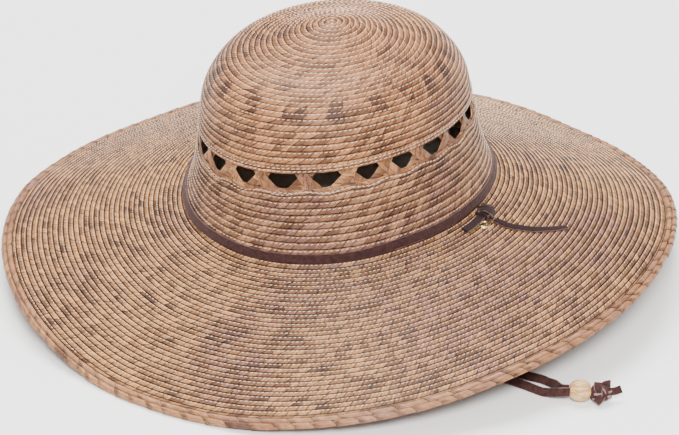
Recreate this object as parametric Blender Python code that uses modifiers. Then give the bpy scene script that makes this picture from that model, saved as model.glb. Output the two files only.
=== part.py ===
"""Straw ranch hat of sewn palm braid, with a vent row, a lace band and a lace chin strap.

Metres, +Z up. The hat rests on its brim as it would on a table. The front faces -Y and the right
side faces +X. The origin is on the table under the middle of the hat.
"""
import math

import bmesh
import bpy
import numpy as np
from mathutils import Matrix, Vector

# Straw
STRAW_WALL = 0.0018
FOOT_HALF_WIDTH = 0.091
FOOT_HALF_LENGTH = 0.107
CROWN_HEIGHT = 0.1049
CROWN_LEAN_SIDE = -0.0052
CROWN_LEAN_FRONT = -0.0014
CROWN_STRETCH_SHARE = 0.047
FOLD_HEIGHT = 0.0443
BRIM_WIDTH = 0.1127
SEAM_HEIGHT = 0.0036
EDGE_WIDTH = 0.0066
EDGE_THICKNESS = 0.003
EDGE_ROUND = 0.0011

# Vent row
VENT_COUNT = 22
VENT_BAND = 0.0128
VENT_WIDTH = 0.0166
VENT_HEIGHT = 0.0096
VENT_SHARE = 0.422
VENT_TILT_SIDE = 0.05
VENT_TILT_FRONT = -0.03
VENT_FIRST_ANGLE = math.radians(-0.8)

# Lace, eyelets and bead
LACE_WIDTH = 0.0052
LACE_THICKNESS = 0.0016
LACE_TUBE = 0.003
BAND_LIFT = 0.0019
EYELET_DISTANCE = 0.0110
EYELET_ANGLES = {"right": math.radians(-8.8), "left": math.radians(172.0)}
EYELET_BORE = 0.0042
EYELET_METAL = 0.0004
EYELET_FLANGE = 0.0080
KNOT_ANGLES = {"right": math.radians(-5.6), "left": math.radians(170.4)}
KNOT_SIZE = (0.0128, 0.0102, 0.0062)
BEAD_DIAMETER = 0.0124
BEAD_LENGTH = 0.0136
BEAD_BORE = 0.0064
BEAD_CENTRE = (0.1932, -0.1001)
BEAD_TURN = math.radians(25)
CORD_KNOT_SIZE = (0.0104, 0.0122, 0.0088)
CORD_END_LENGTH = 0.0095

# Room between pieces that touch
GAP = 0.0003

# Smoothness
SECTORS = 64
DOME_ROWS = 6
WALL_ROWS = 4
FOLD_ROWS = 3
BRIM_ROWS = 3
EYELET_SIDES = 16
BEAD_SIDES = 20
BEAD_STEPS = 8
KNOT_SIDES = 16
STRIP_STEPS = 3
TUBE_STEP = 2.5 * LACE_TUBE
CURVE_STEPS = 40
SECTION_STEPS = 400
VENT_LINE_STEPS = 720
SHARP_ANGLE = math.radians(50)
SEAM_WELD = 0.00001

# Small steps that a direction is measured over
TURN_STEP = math.radians(0.5)
RISE_STEP_SHARE = 0.02

# Thickness of a knot's ring of lace as a share of its half size, and how far a cutter reaches
KNOT_RING_SHARE = 0.4
CUT_REACH = 3 * STRAW_WALL

# Half section of the crown from its foot to its top
# width_share of the foot's half width, height_share of CROWN_HEIGHT
CROWN_SECTION = (
    (1.000, 0.000),
    (0.963, 0.080),
    (0.916, 0.200),
    (0.881, 0.350),
    (0.852, 0.500),
    (0.819, 0.650),
    (0.716, 0.785),
    (0.400, 0.896),
    (0.000, 1.000),
)

# Form of the brim round the hat, counter-clockwise from the right side
# angle_degrees, fold_share and rim_share of FOLD_HEIGHT, the rim where its underside is
BRIM_FORM = (
    (0, 1.094, 0.615),
    (30, 1.026, 0.422),
    (52, 0.965, 0.155),
    (72, 0.925, 0.000),
    (96, 0.909, 0.000),
    (118, 0.938, 0.048),
    (150, 0.997, 0.048),
    (180, 1.019, 0.213),
    (196, 1.008, 0.350),
    (212, 0.992, 0.400),
    (235, 0.964, 0.265),
    (258, 0.962, 0.000),
    (272, 0.980, 0.000),
    (300, 1.034, 0.225),
    (330, 1.094, 0.525),
)

# Corner places of one vent, seen from outside
# along_share of VENT_WIDTH, up_share of VENT_HEIGHT
VENT_OUTLINE = (
    (-0.50, 0.12),
    (-0.15, -0.50),
    (0.17, -0.50),
    (0.50, 0.10),
    (0.33, 0.50),
    (-0.33, 0.50),
)

# How far each hand-worked vent sits off even spacing, as a share of the pitch
VENT_SHIFTS = (
    0.00, 0.09, 0.03, -0.04, 0.02, 0.05, -0.03, -0.05, 0.04, 0.00, -0.04,
    0.05, 0.02, 0.04, 0.10, 0.04, -0.05, -0.04, 0.07, 0.01, -0.06, -0.07,
)

# Tail of the band's lace along the brim, counter-clockwise angle_degrees and
# out_share of BRIM_WIDTH from the fold
LONG_TAIL_ROUTE = (
    (-5.3, 0.128),
    (-5.8, 0.162),
    (-5.5, 0.205),
    (-4.6, 0.250),
    (-3.1, 0.310),
    (-0.5, 0.378),
    (3.5, 0.461),
)
SHORT_TAIL_ROUTE = (
    (-9.0, 0.064),
    (-12.8, 0.067),
    (-16.6, 0.064),
)

# Chin lace from each eyelet to the bead, x, y, z; the first point is under the eyelet
RIGHT_LACE_ROUTE = (
    (0.0990, -0.0140, 0.0310),
    (0.0945, -0.0110, 0.0160),
    (0.0840, -0.0050, 0.0040),
    (0.0680, 0.0050, 0.0015),
    (0.0450, 0.0170, 0.0015),
    (0.0260, 0.0150, 0.0015),
    (0.0160, -0.0030, 0.0015),
    (0.0280, -0.0250, 0.0015),
    (0.0580, -0.0460, 0.0015),
    (0.0960, -0.0680, 0.0015),
    (0.1300, -0.0870, 0.0015),
    (0.1500, -0.0935, 0.0015),
    (0.1612, -0.0936, 0.0015),
    (0.1698, -0.0938, 0.0022),
    (0.1770, -0.0968, 0.0040),
)
LEFT_LACE_ROUTE = (
    (-0.0990, 0.0150, 0.0270),
    (-0.0945, 0.0130, 0.0130),
    (-0.0840, 0.0070, 0.0030),
    (-0.0660, -0.0040, 0.0015),
    (-0.0350, -0.0160, 0.0015),
    (0.0000, -0.0320, 0.0015),
    (0.0380, -0.0640, 0.0015),
    (0.0720, -0.0920, 0.0015),
    (0.1080, -0.1050, 0.0015),
    (0.1350, -0.1035, 0.0015),
    (0.1480, -0.1018, 0.0015),
    (0.1619, -0.1033, 0.0015),
    (0.1695, -0.1048, 0.0020),
    (0.1765, -0.1056, 0.0035),
)

ANGLES = [2 * math.pi * step / SECTORS for step in range(SECTORS)]


def smooth_curve(points, count, after=None):
    """Evenly spread points of one smooth curve through the given points."""
    points = [np.array(point, float) for point in points]
    start = 2 * points[0] - points[1]
    end = 2 * points[-1] - points[-2] if after is None else np.array(after, float)
    padded = np.array([start] + points + [end])
    steps = np.linalg.norm(np.diff(padded, axis=0), axis=1)
    slopes = np.diff(padded, axis=0) / steps[:, None]
    share = steps[1:] / (steps[:-1] + steps[1:])
    tangents = slopes[:-1] * share[:, None] + slopes[1:] * (1 - share)[:, None]
    dense = []
    for index in range(len(points) - 1):
        step = steps[index + 1]
        for t in np.linspace(0, 1, CURVE_STEPS, endpoint=False):
            start_weight = 2 * t**3 - 3 * t**2 + 1
            end_weight = 3 * t**2 - 2 * t**3
            dense.append(start_weight * points[index] + end_weight * points[index + 1]
                         + (t**3 - 2 * t**2 + t) * step * tangents[index]
                         + (t**3 - t**2) * step * tangents[index + 1])
    dense = np.array(dense + [points[-1]])
    travelled = np.concatenate([[0], np.cumsum(np.linalg.norm(np.diff(dense, axis=0), axis=1))])
    wanted = np.linspace(0, travelled[-1], count)
    return np.stack([np.interp(wanted, travelled, column) for column in dense.T], axis=-1)


def smooth_value(places, values, place):
    """Value of a smooth line through a table, which never swings past the table's own values."""
    places = np.array(places, float)
    values = np.array(values, float)
    steps = np.diff(places)
    slopes = np.diff(values) / steps
    tangents = np.zeros(len(values))
    for index in range(1, len(values) - 1):
        before, after = slopes[index - 1], slopes[index]
        if before * after > 0:
            weight_before = 2 * steps[index] + steps[index - 1]
            weight_after = steps[index] + 2 * steps[index - 1]
            tangents[index] = ((weight_before + weight_after)
                               / (weight_before / before + weight_after / after))
    index = min(max(int(np.searchsorted(places, place, side="right")) - 1, 0), len(steps) - 1)
    t = (place - places[index]) / steps[index]
    return float((2 * t**3 - 3 * t**2 + 1) * values[index]
                 + (3 * t**2 - 2 * t**3) * values[index + 1]
                 + (t**3 - 2 * t**2 + t) * steps[index] * tangents[index]
                 + (t**3 - t**2) * steps[index] * tangents[index + 1])


def round_hat(column, angle):
    """Value of a BRIM_FORM column at an angle round the hat."""
    places = [row[0] + turn for turn in (-360, 0, 360) for row in BRIM_FORM]
    values = [row[column] for _ in range(3) for row in BRIM_FORM]
    return smooth_value(places, values, math.degrees(angle) % 360)


# The crown's half section as a close-set line, mirrored past the top so that the top is level
SECTION = smooth_curve(CROWN_SECTION, SECTION_STEPS, after=(-CROWN_SECTION[-2][0], CROWN_SECTION[-2][1]))
SECTION_WIDTHS = SECTION[:, 0]
SECTION_HEIGHTS = np.maximum.accumulate(SECTION[:, 1])
SECTION_CLIMB = np.concatenate([[0], np.cumsum(np.hypot(
    np.diff(SECTION_WIDTHS) * FOOT_HALF_WIDTH, np.diff(SECTION_HEIGHTS) * CROWN_HEIGHT))])


def fold_height(angle):
    return FOLD_HEIGHT * round_hat(1, angle)


def crown_point(height_share, angle):
    """Point on the crown's outer face, a share of the way up from the fold to the top."""
    width = float(np.interp(height_share, SECTION_HEIGHTS, SECTION_WIDTHS))
    length = width * (1 + CROWN_STRETCH_SHARE * height_share)
    fold = fold_height(angle)
    top = FOLD_HEIGHT + CROWN_HEIGHT
    return Vector((
        FOOT_HALF_WIDTH * width * math.cos(angle) + CROWN_LEAN_SIDE * height_share,
        FOOT_HALF_LENGTH * length * math.sin(angle) + CROWN_LEAN_FRONT * height_share,
        fold + (top - fold) * height_share,
    ))


def brim_slope(angle):
    """Fall of the brim below level that sets the rounded underside of the edge at its height."""
    lever = BRIM_WIDTH - EDGE_ROUND
    depth = (STRAW_WALL + EDGE_THICKNESS) / 2 - EDGE_ROUND
    drop = FOLD_HEIGHT * (round_hat(1, angle) - round_hat(2, angle)) - EDGE_ROUND
    return math.asin(drop / math.hypot(lever, depth)) - math.atan2(depth, lever)


def brim_point(distance, angle, lift=0.0):
    """Point on the brim's upper face at a distance out from the fold, raised square to it."""
    outward = Vector((FOOT_HALF_LENGTH * math.cos(angle), FOOT_HALF_WIDTH * math.sin(angle), 0))
    outward.normalize()
    slope = brim_slope(angle)
    along = outward * math.cos(slope) - Vector((0, 0, math.sin(slope)))
    square = outward * math.sin(slope) + Vector((0, 0, math.cos(slope)))
    fold = Vector((FOOT_HALF_WIDTH * math.cos(angle), FOOT_HALF_LENGTH * math.sin(angle),
                   fold_height(angle)))
    return fold + along * distance + square * lift


def brim_place(distance, angle):
    """Frame on the brim: X out along its fall, Z square to its upper face."""
    origin = brim_point(distance, angle)
    out = (brim_point(distance + SEAM_HEIGHT, angle) - origin).normalized()
    round_way = (brim_point(distance, angle + TURN_STEP)
                 - brim_point(distance, angle - TURN_STEP)).normalized()
    up = out.cross(round_way).normalized()
    side = up.cross(out)
    frame = Matrix((out, side, up)).transposed().to_4x4()
    frame.translation = origin
    return frame


def fold_row(share):
    """Row of points on the rounded fold, from the brim side at 0 to the crown side at 1."""
    row = []
    for angle in ANGLES:
        low = brim_point(SEAM_HEIGHT, angle)
        corner = brim_point(0, angle)
        high = crown_point(SEAM_HEIGHT / CROWN_HEIGHT, angle)
        row.append(low * (1 - share) ** 2 + corner * 2 * share * (1 - share) + high * share**2)
    return row


def vent_share(angle):
    """Height share of the middle of the vent row."""
    return VENT_SHARE + VENT_TILT_SIDE * math.cos(angle) + VENT_TILT_FRONT * math.sin(angle)


def vent_edge(angle, side, gap=0.0):
    """Height share of the vent row's lower edge (side -1) or upper edge (side 1)."""
    return vent_share(angle) + side * (VENT_BAND / 2 + gap) / CROWN_HEIGHT


# Scene helpers
for leftover in list(bpy.data.objects):
    bpy.data.objects.remove(leftover, do_unlink=True)

hat_collection = bpy.data.collections.new("straw_ranch_hat")
cutter_collection = bpy.data.collections.new("cutters")
bpy.context.scene.collection.children.link(hat_collection)
bpy.context.scene.collection.children.link(cutter_collection)


def finish(name, colour, roughness, metallic=0.0):
    """Plain surface for one sub-part."""
    surface = bpy.data.materials.new(name)
    surface.use_nodes = True
    shader = surface.node_tree.nodes["Principled BSDF"]
    shader.inputs["Base Color"].default_value = (*colour, 1.0)
    shader.inputs["Roughness"].default_value = roughness
    shader.inputs["Metallic"].default_value = metallic
    return surface


def add_piece(name, data, surface):
    """Put a mesh or curve in the hat's collection under its own name."""
    data.name = name
    data.materials.clear()
    data.materials.append(surface)
    piece = bpy.data.objects.new(name, data)
    hat_collection.objects.link(piece)
    return piece


def add_cutter(name, mesh):
    cutter = bpy.data.objects.new(name, mesh)
    cutter.hide_render = True
    cutter.display_type = "WIRE"
    cutter_collection.objects.link(cutter)
    return cutter


def sheet_mesh(name, rows, top=None):
    """Open surface through rows of points, listed from the rim side towards the crown's top."""
    count = len(rows[0])
    points = [point for row in rows for point in row]
    faces = []
    for row in range(len(rows) - 1):
        for step in range(count):
            low = row * count
            high = low + count
            after = (step + 1) % count
            faces.append((low + step, low + after, high + after, high + step))
    if top is not None:
        last = (len(rows) - 1) * count
        points.append(top)
        faces.extend((last + step, last + (step + 1) % count, len(points) - 1)
                     for step in range(count))
    mesh = bpy.data.meshes.new(name)
    mesh.from_pydata([tuple(point) for point in points], [], faces)
    mesh.shade_smooth()
    mesh.set_sharp_from_angle(angle=SHARP_ANGLE)
    return mesh


def thicken(piece, thickness, offset):
    wall = piece.modifiers.new("wall", "SOLIDIFY")
    wall.thickness = thickness
    wall.offset = offset
    wall.use_even_offset = True


def cut(piece, cutter):
    hole = piece.modifiers.new("cut_" + cutter.name, "BOOLEAN")
    hole.operation = "DIFFERENCE"
    hole.solver = "EXACT"
    hole.object = cutter


def soften(piece, width, segments):
    edge = piece.modifiers.new("soft_edge", "BEVEL")
    edge.width = width
    edge.segments = segments
    edge.limit_method = "ANGLE"
    edge.angle_limit = SHARP_ANGLE


def turned_mesh(name, profile, sides):
    """Mesh of a profile of radius and height pairs turned round Z, made with a Screw modifier."""
    mesh = bpy.data.meshes.new(name + "_profile")
    count = len(profile)
    mesh.from_pydata([(radius, 0, height) for radius, height in profile],
                     [(step, (step + 1) % count) for step in range(count)], [])
    source = bpy.data.objects.new(name + "_profile", mesh)
    cutter_collection.objects.link(source)
    turn = source.modifiers.new("turn", "SCREW")
    turn.steps = sides
    turn.render_steps = sides
    turn.use_merge_vertices = True
    turn.merge_threshold = SEAM_WELD
    return made_mesh(source, name)


def made_mesh(source, name):
    """Mesh of an object as its modifiers leave it, with its seams welded and its faces outward."""
    bpy.context.view_layer.update()
    evaluated = source.evaluated_get(bpy.context.evaluated_depsgraph_get())
    mesh = bpy.data.meshes.new_from_object(evaluated)
    mesh.name = name
    shape = bmesh.new()
    shape.from_mesh(mesh)
    bmesh.ops.remove_doubles(shape, verts=shape.verts, dist=SEAM_WELD)
    bmesh.ops.recalc_face_normals(shape, faces=shape.faces)
    shape.to_mesh(mesh)
    shape.free()
    bpy.data.objects.remove(source, do_unlink=True)
    mesh.shade_smooth()
    mesh.set_sharp_from_angle(angle=SHARP_ANGLE)
    return mesh


def tube_curve(name, points, diameter):
    """Round cord through the points, with closed ends."""
    curve = bpy.data.curves.new(name, "CURVE")
    curve.dimensions = "3D"
    curve.bevel_depth = diameter / 2
    curve.bevel_resolution = 2
    curve.use_fill_caps = True
    line = curve.splines.new("POLY")
    line.points.add(len(points) - 1)
    for slot, point in zip(line.points, points):
        slot.co = (*point, 1.0)
    return curve


def route_length(points):
    return float(np.linalg.norm(np.diff(np.array(points, float), axis=0), axis=1).sum())


def tube_points(route):
    """Points of a smooth lace along its route, a step of TUBE_STEP apart and never in the table."""
    count = max(4, round(route_length(route) / TUBE_STEP) + 1)
    points = smooth_curve(route, count)
    points[:, 2] = np.maximum(points[:, 2], LACE_TUBE / 2)
    return points


# Dome: the crown above the vent row
dome_rows = []
for step in range(DOME_ROWS):
    row = []
    for angle in ANGLES:
        start = float(np.interp(vent_edge(angle, 1, GAP), SECTION_HEIGHTS, SECTION_CLIMB))
        climb = start + (SECTION_CLIMB[-1] - start) * step / DOME_ROWS
        row.append(crown_point(float(np.interp(climb, SECTION_CLIMB, SECTION_HEIGHTS)), angle))
    dome_rows.append(row)
dome_straw = finish("dome_straw", (0.52, 0.37, 0.26), 0.6)
dome = add_piece("crown_dome", sheet_mesh("crown_dome", dome_rows, crown_point(1, 0)), dome_straw)
thicken(dome, STRAW_WALL, -1)

# Vent row: a strip round the crown with the vents cut through it
vent_rows = [[crown_point(vent_edge(angle, side), angle) for angle in ANGLES] for side in (-1, 1)]
vent_straw = finish("vent_straw", (0.55, 0.38, 0.25), 0.6)
vent_row = add_piece("vent_row", sheet_mesh("vent_row", vent_rows), vent_straw)
thicken(vent_row, STRAW_WALL, -1)


def vent_angles():
    """Angle of each vent, evenly spread along the row and then shifted by its own share."""
    fine = np.linspace(0, 2 * math.pi, VENT_LINE_STEPS + 1)
    line = np.array([crown_point(vent_share(angle), angle) for angle in fine])
    travelled = np.concatenate([[0], np.cumsum(np.linalg.norm(np.diff(line, axis=0), axis=1))])
    pitch = travelled[-1] / VENT_COUNT
    first = float(np.interp(VENT_FIRST_ANGLE % (2 * math.pi), fine, travelled))
    places = []
    for index in range(VENT_COUNT):
        shift = VENT_SHIFTS[index % len(VENT_SHIFTS)]
        place = (first + (index + shift) * pitch) % travelled[-1]
        places.append(float(np.interp(place, travelled, fine)))
    return places


vent_shape = bmesh.new()
for angle in vent_angles():
    middle = crown_point(vent_share(angle), angle)
    after = angle + TURN_STEP
    along = (crown_point(vent_share(after), after) - middle).normalized()
    up = (crown_point(vent_share(angle) + RISE_STEP_SHARE, angle) - middle).normalized()
    through = along.cross(up).normalized()
    outline = [middle + along * (along_share * VENT_WIDTH) + up * (up_share * VENT_HEIGHT)
               for along_share, up_share in VENT_OUTLINE]
    near = [vent_shape.verts.new(corner - through * CUT_REACH) for corner in outline]
    far = [vent_shape.verts.new(corner + through * CUT_REACH) for corner in outline]
    vent_shape.faces.new(reversed(near))
    vent_shape.faces.new(far)
    for step in range(len(outline)):
        after = (step + 1) % len(outline)
        vent_shape.faces.new((near[step], near[after], far[after], far[step]))
bmesh.ops.recalc_face_normals(vent_shape, faces=vent_shape.faces)
vent_cutter_mesh = bpy.data.meshes.new("vent_cutters")
vent_shape.to_mesh(vent_cutter_mesh)
vent_shape.free()
cut(vent_row, add_cutter("vent_cutters", vent_cutter_mesh))

# Wall: the crown between the seam over the fold and the vent row
wall_rows = []
for step in range(WALL_ROWS + 1):
    share = step / WALL_ROWS
    low = (SEAM_HEIGHT + GAP) / CROWN_HEIGHT
    wall_rows.append([crown_point(low + (vent_edge(angle, -1, GAP) - low) * share, angle)
                      for angle in ANGLES])
wall_straw = finish("wall_straw", (0.47, 0.33, 0.25), 0.62)
wall = add_piece("crown_wall", sheet_mesh("crown_wall", wall_rows), wall_straw)
thicken(wall, STRAW_WALL, -1)

# Brim: the rounded fold and the fall out to the edge, with a hole for each eyelet
brim_end = BRIM_WIDTH - EDGE_WIDTH
brim_rows = []
for step in range(BRIM_ROWS):
    distance = brim_end + (SEAM_HEIGHT - brim_end) * step / BRIM_ROWS
    brim_rows.append([brim_point(distance, angle) for angle in ANGLES])
for step in range(FOLD_ROWS + 1):
    brim_rows.append(fold_row(step / FOLD_ROWS))
brim_straw = finish("brim_straw", (0.50, 0.36, 0.26), 0.62)
brim = add_piece("brim", sheet_mesh("brim", brim_rows), brim_straw)
thicken(brim, STRAW_WALL, -1)

hole_shape = bmesh.new()
hole_radius = EYELET_BORE / 2 + EYELET_METAL + GAP
for angle in EYELET_ANGLES.values():
    bmesh.ops.create_cone(hole_shape, cap_ends=True, segments=EYELET_SIDES, radius1=hole_radius,
                          radius2=hole_radius, depth=2 * CUT_REACH,
                          matrix=brim_place(EYELET_DISTANCE, angle))
hole_mesh = bpy.data.meshes.new("eyelet_holes")
hole_shape.to_mesh(hole_mesh)
hole_shape.free()
cut(brim, add_cutter("eyelet_holes", hole_mesh))

# Edge binding: the thicker folded strip that closes the brim, which the hat rests on
edge_rows = []
for distance in (BRIM_WIDTH, BRIM_WIDTH - EDGE_WIDTH / 2, brim_end + GAP):
    edge_rows.append([brim_point(distance, angle, -STRAW_WALL / 2) for angle in ANGLES])
edge_straw = finish("edge_straw", (0.46, 0.28, 0.19), 0.5)
edge = add_piece("brim_edge", sheet_mesh("brim_edge", edge_rows), edge_straw)
thicken(edge, EDGE_THICKNESS, 0)
soften(edge, EDGE_ROUND, 2)

# Band: a flat lace that stands against the crown just over the fold
band_rows = []
for lift in (BAND_LIFT, BAND_LIFT + LACE_WIDTH):
    row = []
    for angle in ANGLES:
        share = lift / CROWN_HEIGHT
        point = crown_point(share, angle)
        up = (crown_point(share + RISE_STEP_SHARE, angle) - point).normalized()
        side = (crown_point(share, angle + TURN_STEP)
                - crown_point(share, angle - TURN_STEP)).normalized()
        row.append(point + side.cross(up).normalized() * (GAP + LACE_THICKNESS / 2))
    band_rows.append(row)
band_suede = finish("band_suede", (0.085, 0.035, 0.035), 0.85)
band = add_piece("hat_band", sheet_mesh("hat_band", band_rows), band_suede)
thicken(band, LACE_THICKNESS, 0)


def lace_strip(name, route, surface):
    """Flat lace on the brim, over the eyelet's flange, along a route of angles and shares."""
    count = STRIP_STEPS * len(route)
    lift = GAP + EYELET_METAL + GAP + LACE_THICKNESS / 2
    places = smooth_curve(route, count)
    middle = [brim_point(share * BRIM_WIDTH, math.radians(degrees), lift)
              for degrees, share in places]
    left, right = [], []
    for index, point in enumerate(middle):
        ahead = middle[min(index + 1, count - 1)] - middle[max(index - 1, 0)]
        degrees, share = places[index]
        up = brim_place(share * BRIM_WIDTH, math.radians(degrees)).col[2].to_3d()
        across = up.cross(ahead).normalized() * LACE_WIDTH / 2
        left.append(point + across)
        right.append(point - across)
    mesh = bpy.data.meshes.new(name)
    mesh.from_pydata([tuple(point) for point in left + right], [],
                     [(step, count + step, count + step + 1, step + 1)
                      for step in range(count - 1)])
    strip = add_piece(name, mesh, surface)
    thicken(strip, LACE_THICKNESS, 0)
    return strip


def knot_mesh(name, size):
    """Rounded turn of lace drawn tight: a fat ring that almost closes on itself."""
    bpy.ops.mesh.primitive_torus_add(major_segments=KNOT_SIDES, minor_segments=KNOT_SIDES // 2,
                                     major_radius=1 - KNOT_RING_SHARE,
                                     minor_radius=KNOT_RING_SHARE)
    ring = bpy.context.object
    mesh = ring.data
    bpy.data.objects.remove(ring, do_unlink=True)
    mesh.name = name
    mesh.transform(Matrix.Diagonal((size[0] / 2, size[1] / 2, size[2] / (2 * KNOT_RING_SHARE), 1)))
    mesh.shade_smooth()
    return mesh


# Knots: the band's own knot by the right eyelet, and the chin lace's stop knot on the left
knot_suede = finish("knot_suede", (0.075, 0.032, 0.032), 0.85)
knot_rise = GAP + EYELET_METAL + GAP + KNOT_SIZE[2] / 2
foot_lean = ((1 - CROWN_SECTION[1][0]) * FOOT_HALF_WIDTH) / (CROWN_SECTION[1][1] * CROWN_HEIGHT)
for side, name in (("right", "band_knot"), ("left", "stop_knot")):
    knot = add_piece(name, knot_mesh(name, KNOT_SIZE), knot_suede)
    lean = foot_lean + math.tan(brim_slope(KNOT_ANGLES[side]))
    knot_distance = 2 * GAP + LACE_THICKNESS + KNOT_SIZE[0] / 2 - lean * BAND_LIFT
    knot.matrix_world = (brim_place(knot_distance, KNOT_ANGLES[side])
                         @ Matrix.Translation((0, 0, knot_rise)))

# Eyelets: a flanged brass tube rolled over under the brim
flange = EYELET_FLANGE / 2
bore = EYELET_BORE / 2
barrel = bore + EYELET_METAL
upper = GAP
under = -STRAW_WALL - GAP
EYELET_PROFILE = (
    (bore, upper + EYELET_METAL),
    (flange, upper + EYELET_METAL),
    (flange, upper),
    (barrel, upper),
    (barrel, under),
    (flange - 2 * EYELET_METAL, under),
    (flange - 2 * EYELET_METAL, under - EYELET_METAL),
    (bore, under - EYELET_METAL),
)
eyelet_brass = finish("eyelet_brass", (0.72, 0.55, 0.27), 0.35, 1.0)
for side, angle in EYELET_ANGLES.items():
    name = "eyelet_" + side
    eyelet = add_piece(name, turned_mesh(name, EYELET_PROFILE, EYELET_SIDES), eyelet_brass)
    eyelet.matrix_world = brim_place(EYELET_DISTANCE, angle)

# Tails of the band's lace
tail_suede = finish("tail_suede", (0.080, 0.034, 0.034), 0.85)
long_tail = [brim_point(share * BRIM_WIDTH, math.radians(degrees), GAP + LACE_TUBE / 2)
             for degrees, share in LONG_TAIL_ROUTE]
add_piece("band_tail_long", tube_curve("band_tail_long", tube_points(long_tail), LACE_TUBE),
          tail_suede)
lace_strip("band_tail_short", SHORT_TAIL_ROUTE, tail_suede)

# Bead on the chin lace, lying on its side
bead_radius = BEAD_DIAMETER / 2
bore_radius = BEAD_BORE / 2
half_bead = BEAD_LENGTH / 2
face_half = half_bead * math.sqrt(1 - (bore_radius / bead_radius) ** 2)
bead_profile = [(bore_radius, face_half)]
for step in range(1, BEAD_STEPS):
    height = face_half * (1 - 2 * step / BEAD_STEPS)
    bead_profile.append((bead_radius * math.sqrt(1 - (height / half_bead) ** 2), height))
bead_profile.append((bore_radius, -face_half))
bead_wood = finish("bead_wood", (0.70, 0.55, 0.38), 0.5)
bead = add_piece("cord_bead", turned_mesh("cord_bead", bead_profile, BEAD_SIDES), bead_wood)
bead_place = (Matrix.Translation((*BEAD_CENTRE, bead_radius))
              @ Matrix.Rotation(BEAD_TURN, 4, "Z") @ Matrix.Rotation(math.radians(90), 4, "Y"))
bead.matrix_world = bead_place

# Knot behind the bead, with the two cut ends of the chin lace
cord_suede = finish("cord_suede", (0.11, 0.045, 0.042), 0.85)
bpy.ops.mesh.primitive_uv_sphere_add(segments=KNOT_SIDES, ring_count=KNOT_SIDES // 2, radius=0.5)
knot_ball = bpy.context.object
knot_ball.name = "cord_knot"
hat_collection.objects.link(knot_ball)
for home in list(knot_ball.users_collection):
    if home is not hat_collection:
        home.objects.unlink(knot_ball)
knot_ball.data.name = "cord_knot"
knot_ball.data.transform(Matrix.Diagonal((*CORD_KNOT_SIZE, 1)))
knot_ball.data.materials.append(cord_suede)
knot_ball.data.shade_smooth()
along_lace = Matrix.Rotation(BEAD_TURN, 4, "Z")
knot_reach = face_half + GAP + CORD_KNOT_SIZE[0] / 2
knot_centre = Vector((*BEAD_CENTRE, CORD_KNOT_SIZE[2] / 2)) + along_lace @ Vector((knot_reach, 0, 0))
knot_ball.matrix_world = Matrix.Translation(knot_centre) @ along_lace
end_shape = bmesh.new()
bmesh.ops.create_cube(end_shape, size=1)
end_mesh = bpy.data.meshes.new("lace_end")
end_shape.to_mesh(end_mesh)
end_shape.free()
end_size = (CORD_KNOT_SIZE[0] / 2 + CORD_END_LENGTH, LACE_WIDTH, LACE_THICKNESS * 2)
end_mesh.transform(Matrix.Translation((end_size[0] / 2, 0, 0)) @ Matrix.Diagonal((*end_size, 1)))
lace_end = add_cutter("lace_end", end_mesh)
lace_end.matrix_world = Matrix.Translation(knot_centre) @ along_lace
join = knot_ball.modifiers.new("join_end", "BOOLEAN")
join.operation = "UNION"
join.solver = "EXACT"
join.object = lace_end

# Chin lace: one run from each eyelet, through the bead to the knot
lace_gap = (LACE_TUBE + GAP) / 2
for side, route in (("right", RIGHT_LACE_ROUTE), ("left", LEFT_LACE_ROUTE)):
    mouth = brim_place(EYELET_DISTANCE, EYELET_ANGLES[side])
    exit_depth = -(STRAW_WALL + 2 * GAP + EYELET_METAL)
    start = [mouth @ Vector((0, 0, exit_depth)), mouth @ Vector((0, 0, exit_depth - LACE_TUBE))]
    sideways = lace_gap if side == "right" else -lace_gap
    bead_line = Matrix.Translation((*BEAD_CENTRE, bead_radius)) @ along_lace
    end = [bead_line @ Vector((-face_half - GAP - reach, sideways, 0))
           for reach in (LACE_TUBE, 0)]
    name = "chin_lace_" + side
    whole = [tuple(point) for point in start] + list(route) + [tuple(point) for point in end]
    add_piece(name, tube_curve(name, tube_points(whole), LACE_TUBE), cord_suede)
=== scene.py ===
"""Straw ranch hat: sewn palm braid with a row of open vents, a suede band and a beaded chin strap.

Metres, +Z up. The front of the hat faces -Y and its right side +X.
"""

import math

import bmesh
import bpy
import numpy as np
from mathutils import Matrix, Vector


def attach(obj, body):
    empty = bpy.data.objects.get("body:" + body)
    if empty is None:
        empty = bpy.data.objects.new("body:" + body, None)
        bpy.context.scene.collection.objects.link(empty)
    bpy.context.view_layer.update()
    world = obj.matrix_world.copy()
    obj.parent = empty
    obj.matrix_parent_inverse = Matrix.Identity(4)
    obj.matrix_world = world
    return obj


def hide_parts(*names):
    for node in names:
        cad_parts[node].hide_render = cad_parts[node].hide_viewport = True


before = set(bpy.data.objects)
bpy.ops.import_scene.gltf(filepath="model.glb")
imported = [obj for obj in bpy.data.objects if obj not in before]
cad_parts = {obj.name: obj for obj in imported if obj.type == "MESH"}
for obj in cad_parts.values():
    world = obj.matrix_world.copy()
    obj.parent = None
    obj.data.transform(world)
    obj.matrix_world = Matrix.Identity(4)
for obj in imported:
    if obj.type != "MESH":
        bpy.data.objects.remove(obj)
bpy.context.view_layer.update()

# Crown dome
# The round top of the crown, one long palm braid sewn in a spiral from the middle of the top.
# Each turn laps over the turn above it, and its edge stands up a little where it does.
STRAW_WALL = 0.0018
FOOT_HALF_WIDTH = 0.091
FOOT_HALF_LENGTH = 0.107
CROWN_HEIGHT = 0.1049
CROWN_LEAN_SIDE = -0.0052
CROWN_LEAN_FRONT = -0.0014
CROWN_STRETCH_SHARE = 0.047
FOLD_HEIGHT = 0.0443
BRIM_WIDTH = 0.1127
SEAM_HEIGHT = 0.0036
EDGE_THICKNESS = 0.003
EDGE_ROUND = 0.0011
VENT_BAND = 0.0128
VENT_SHARE = 0.422
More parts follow.
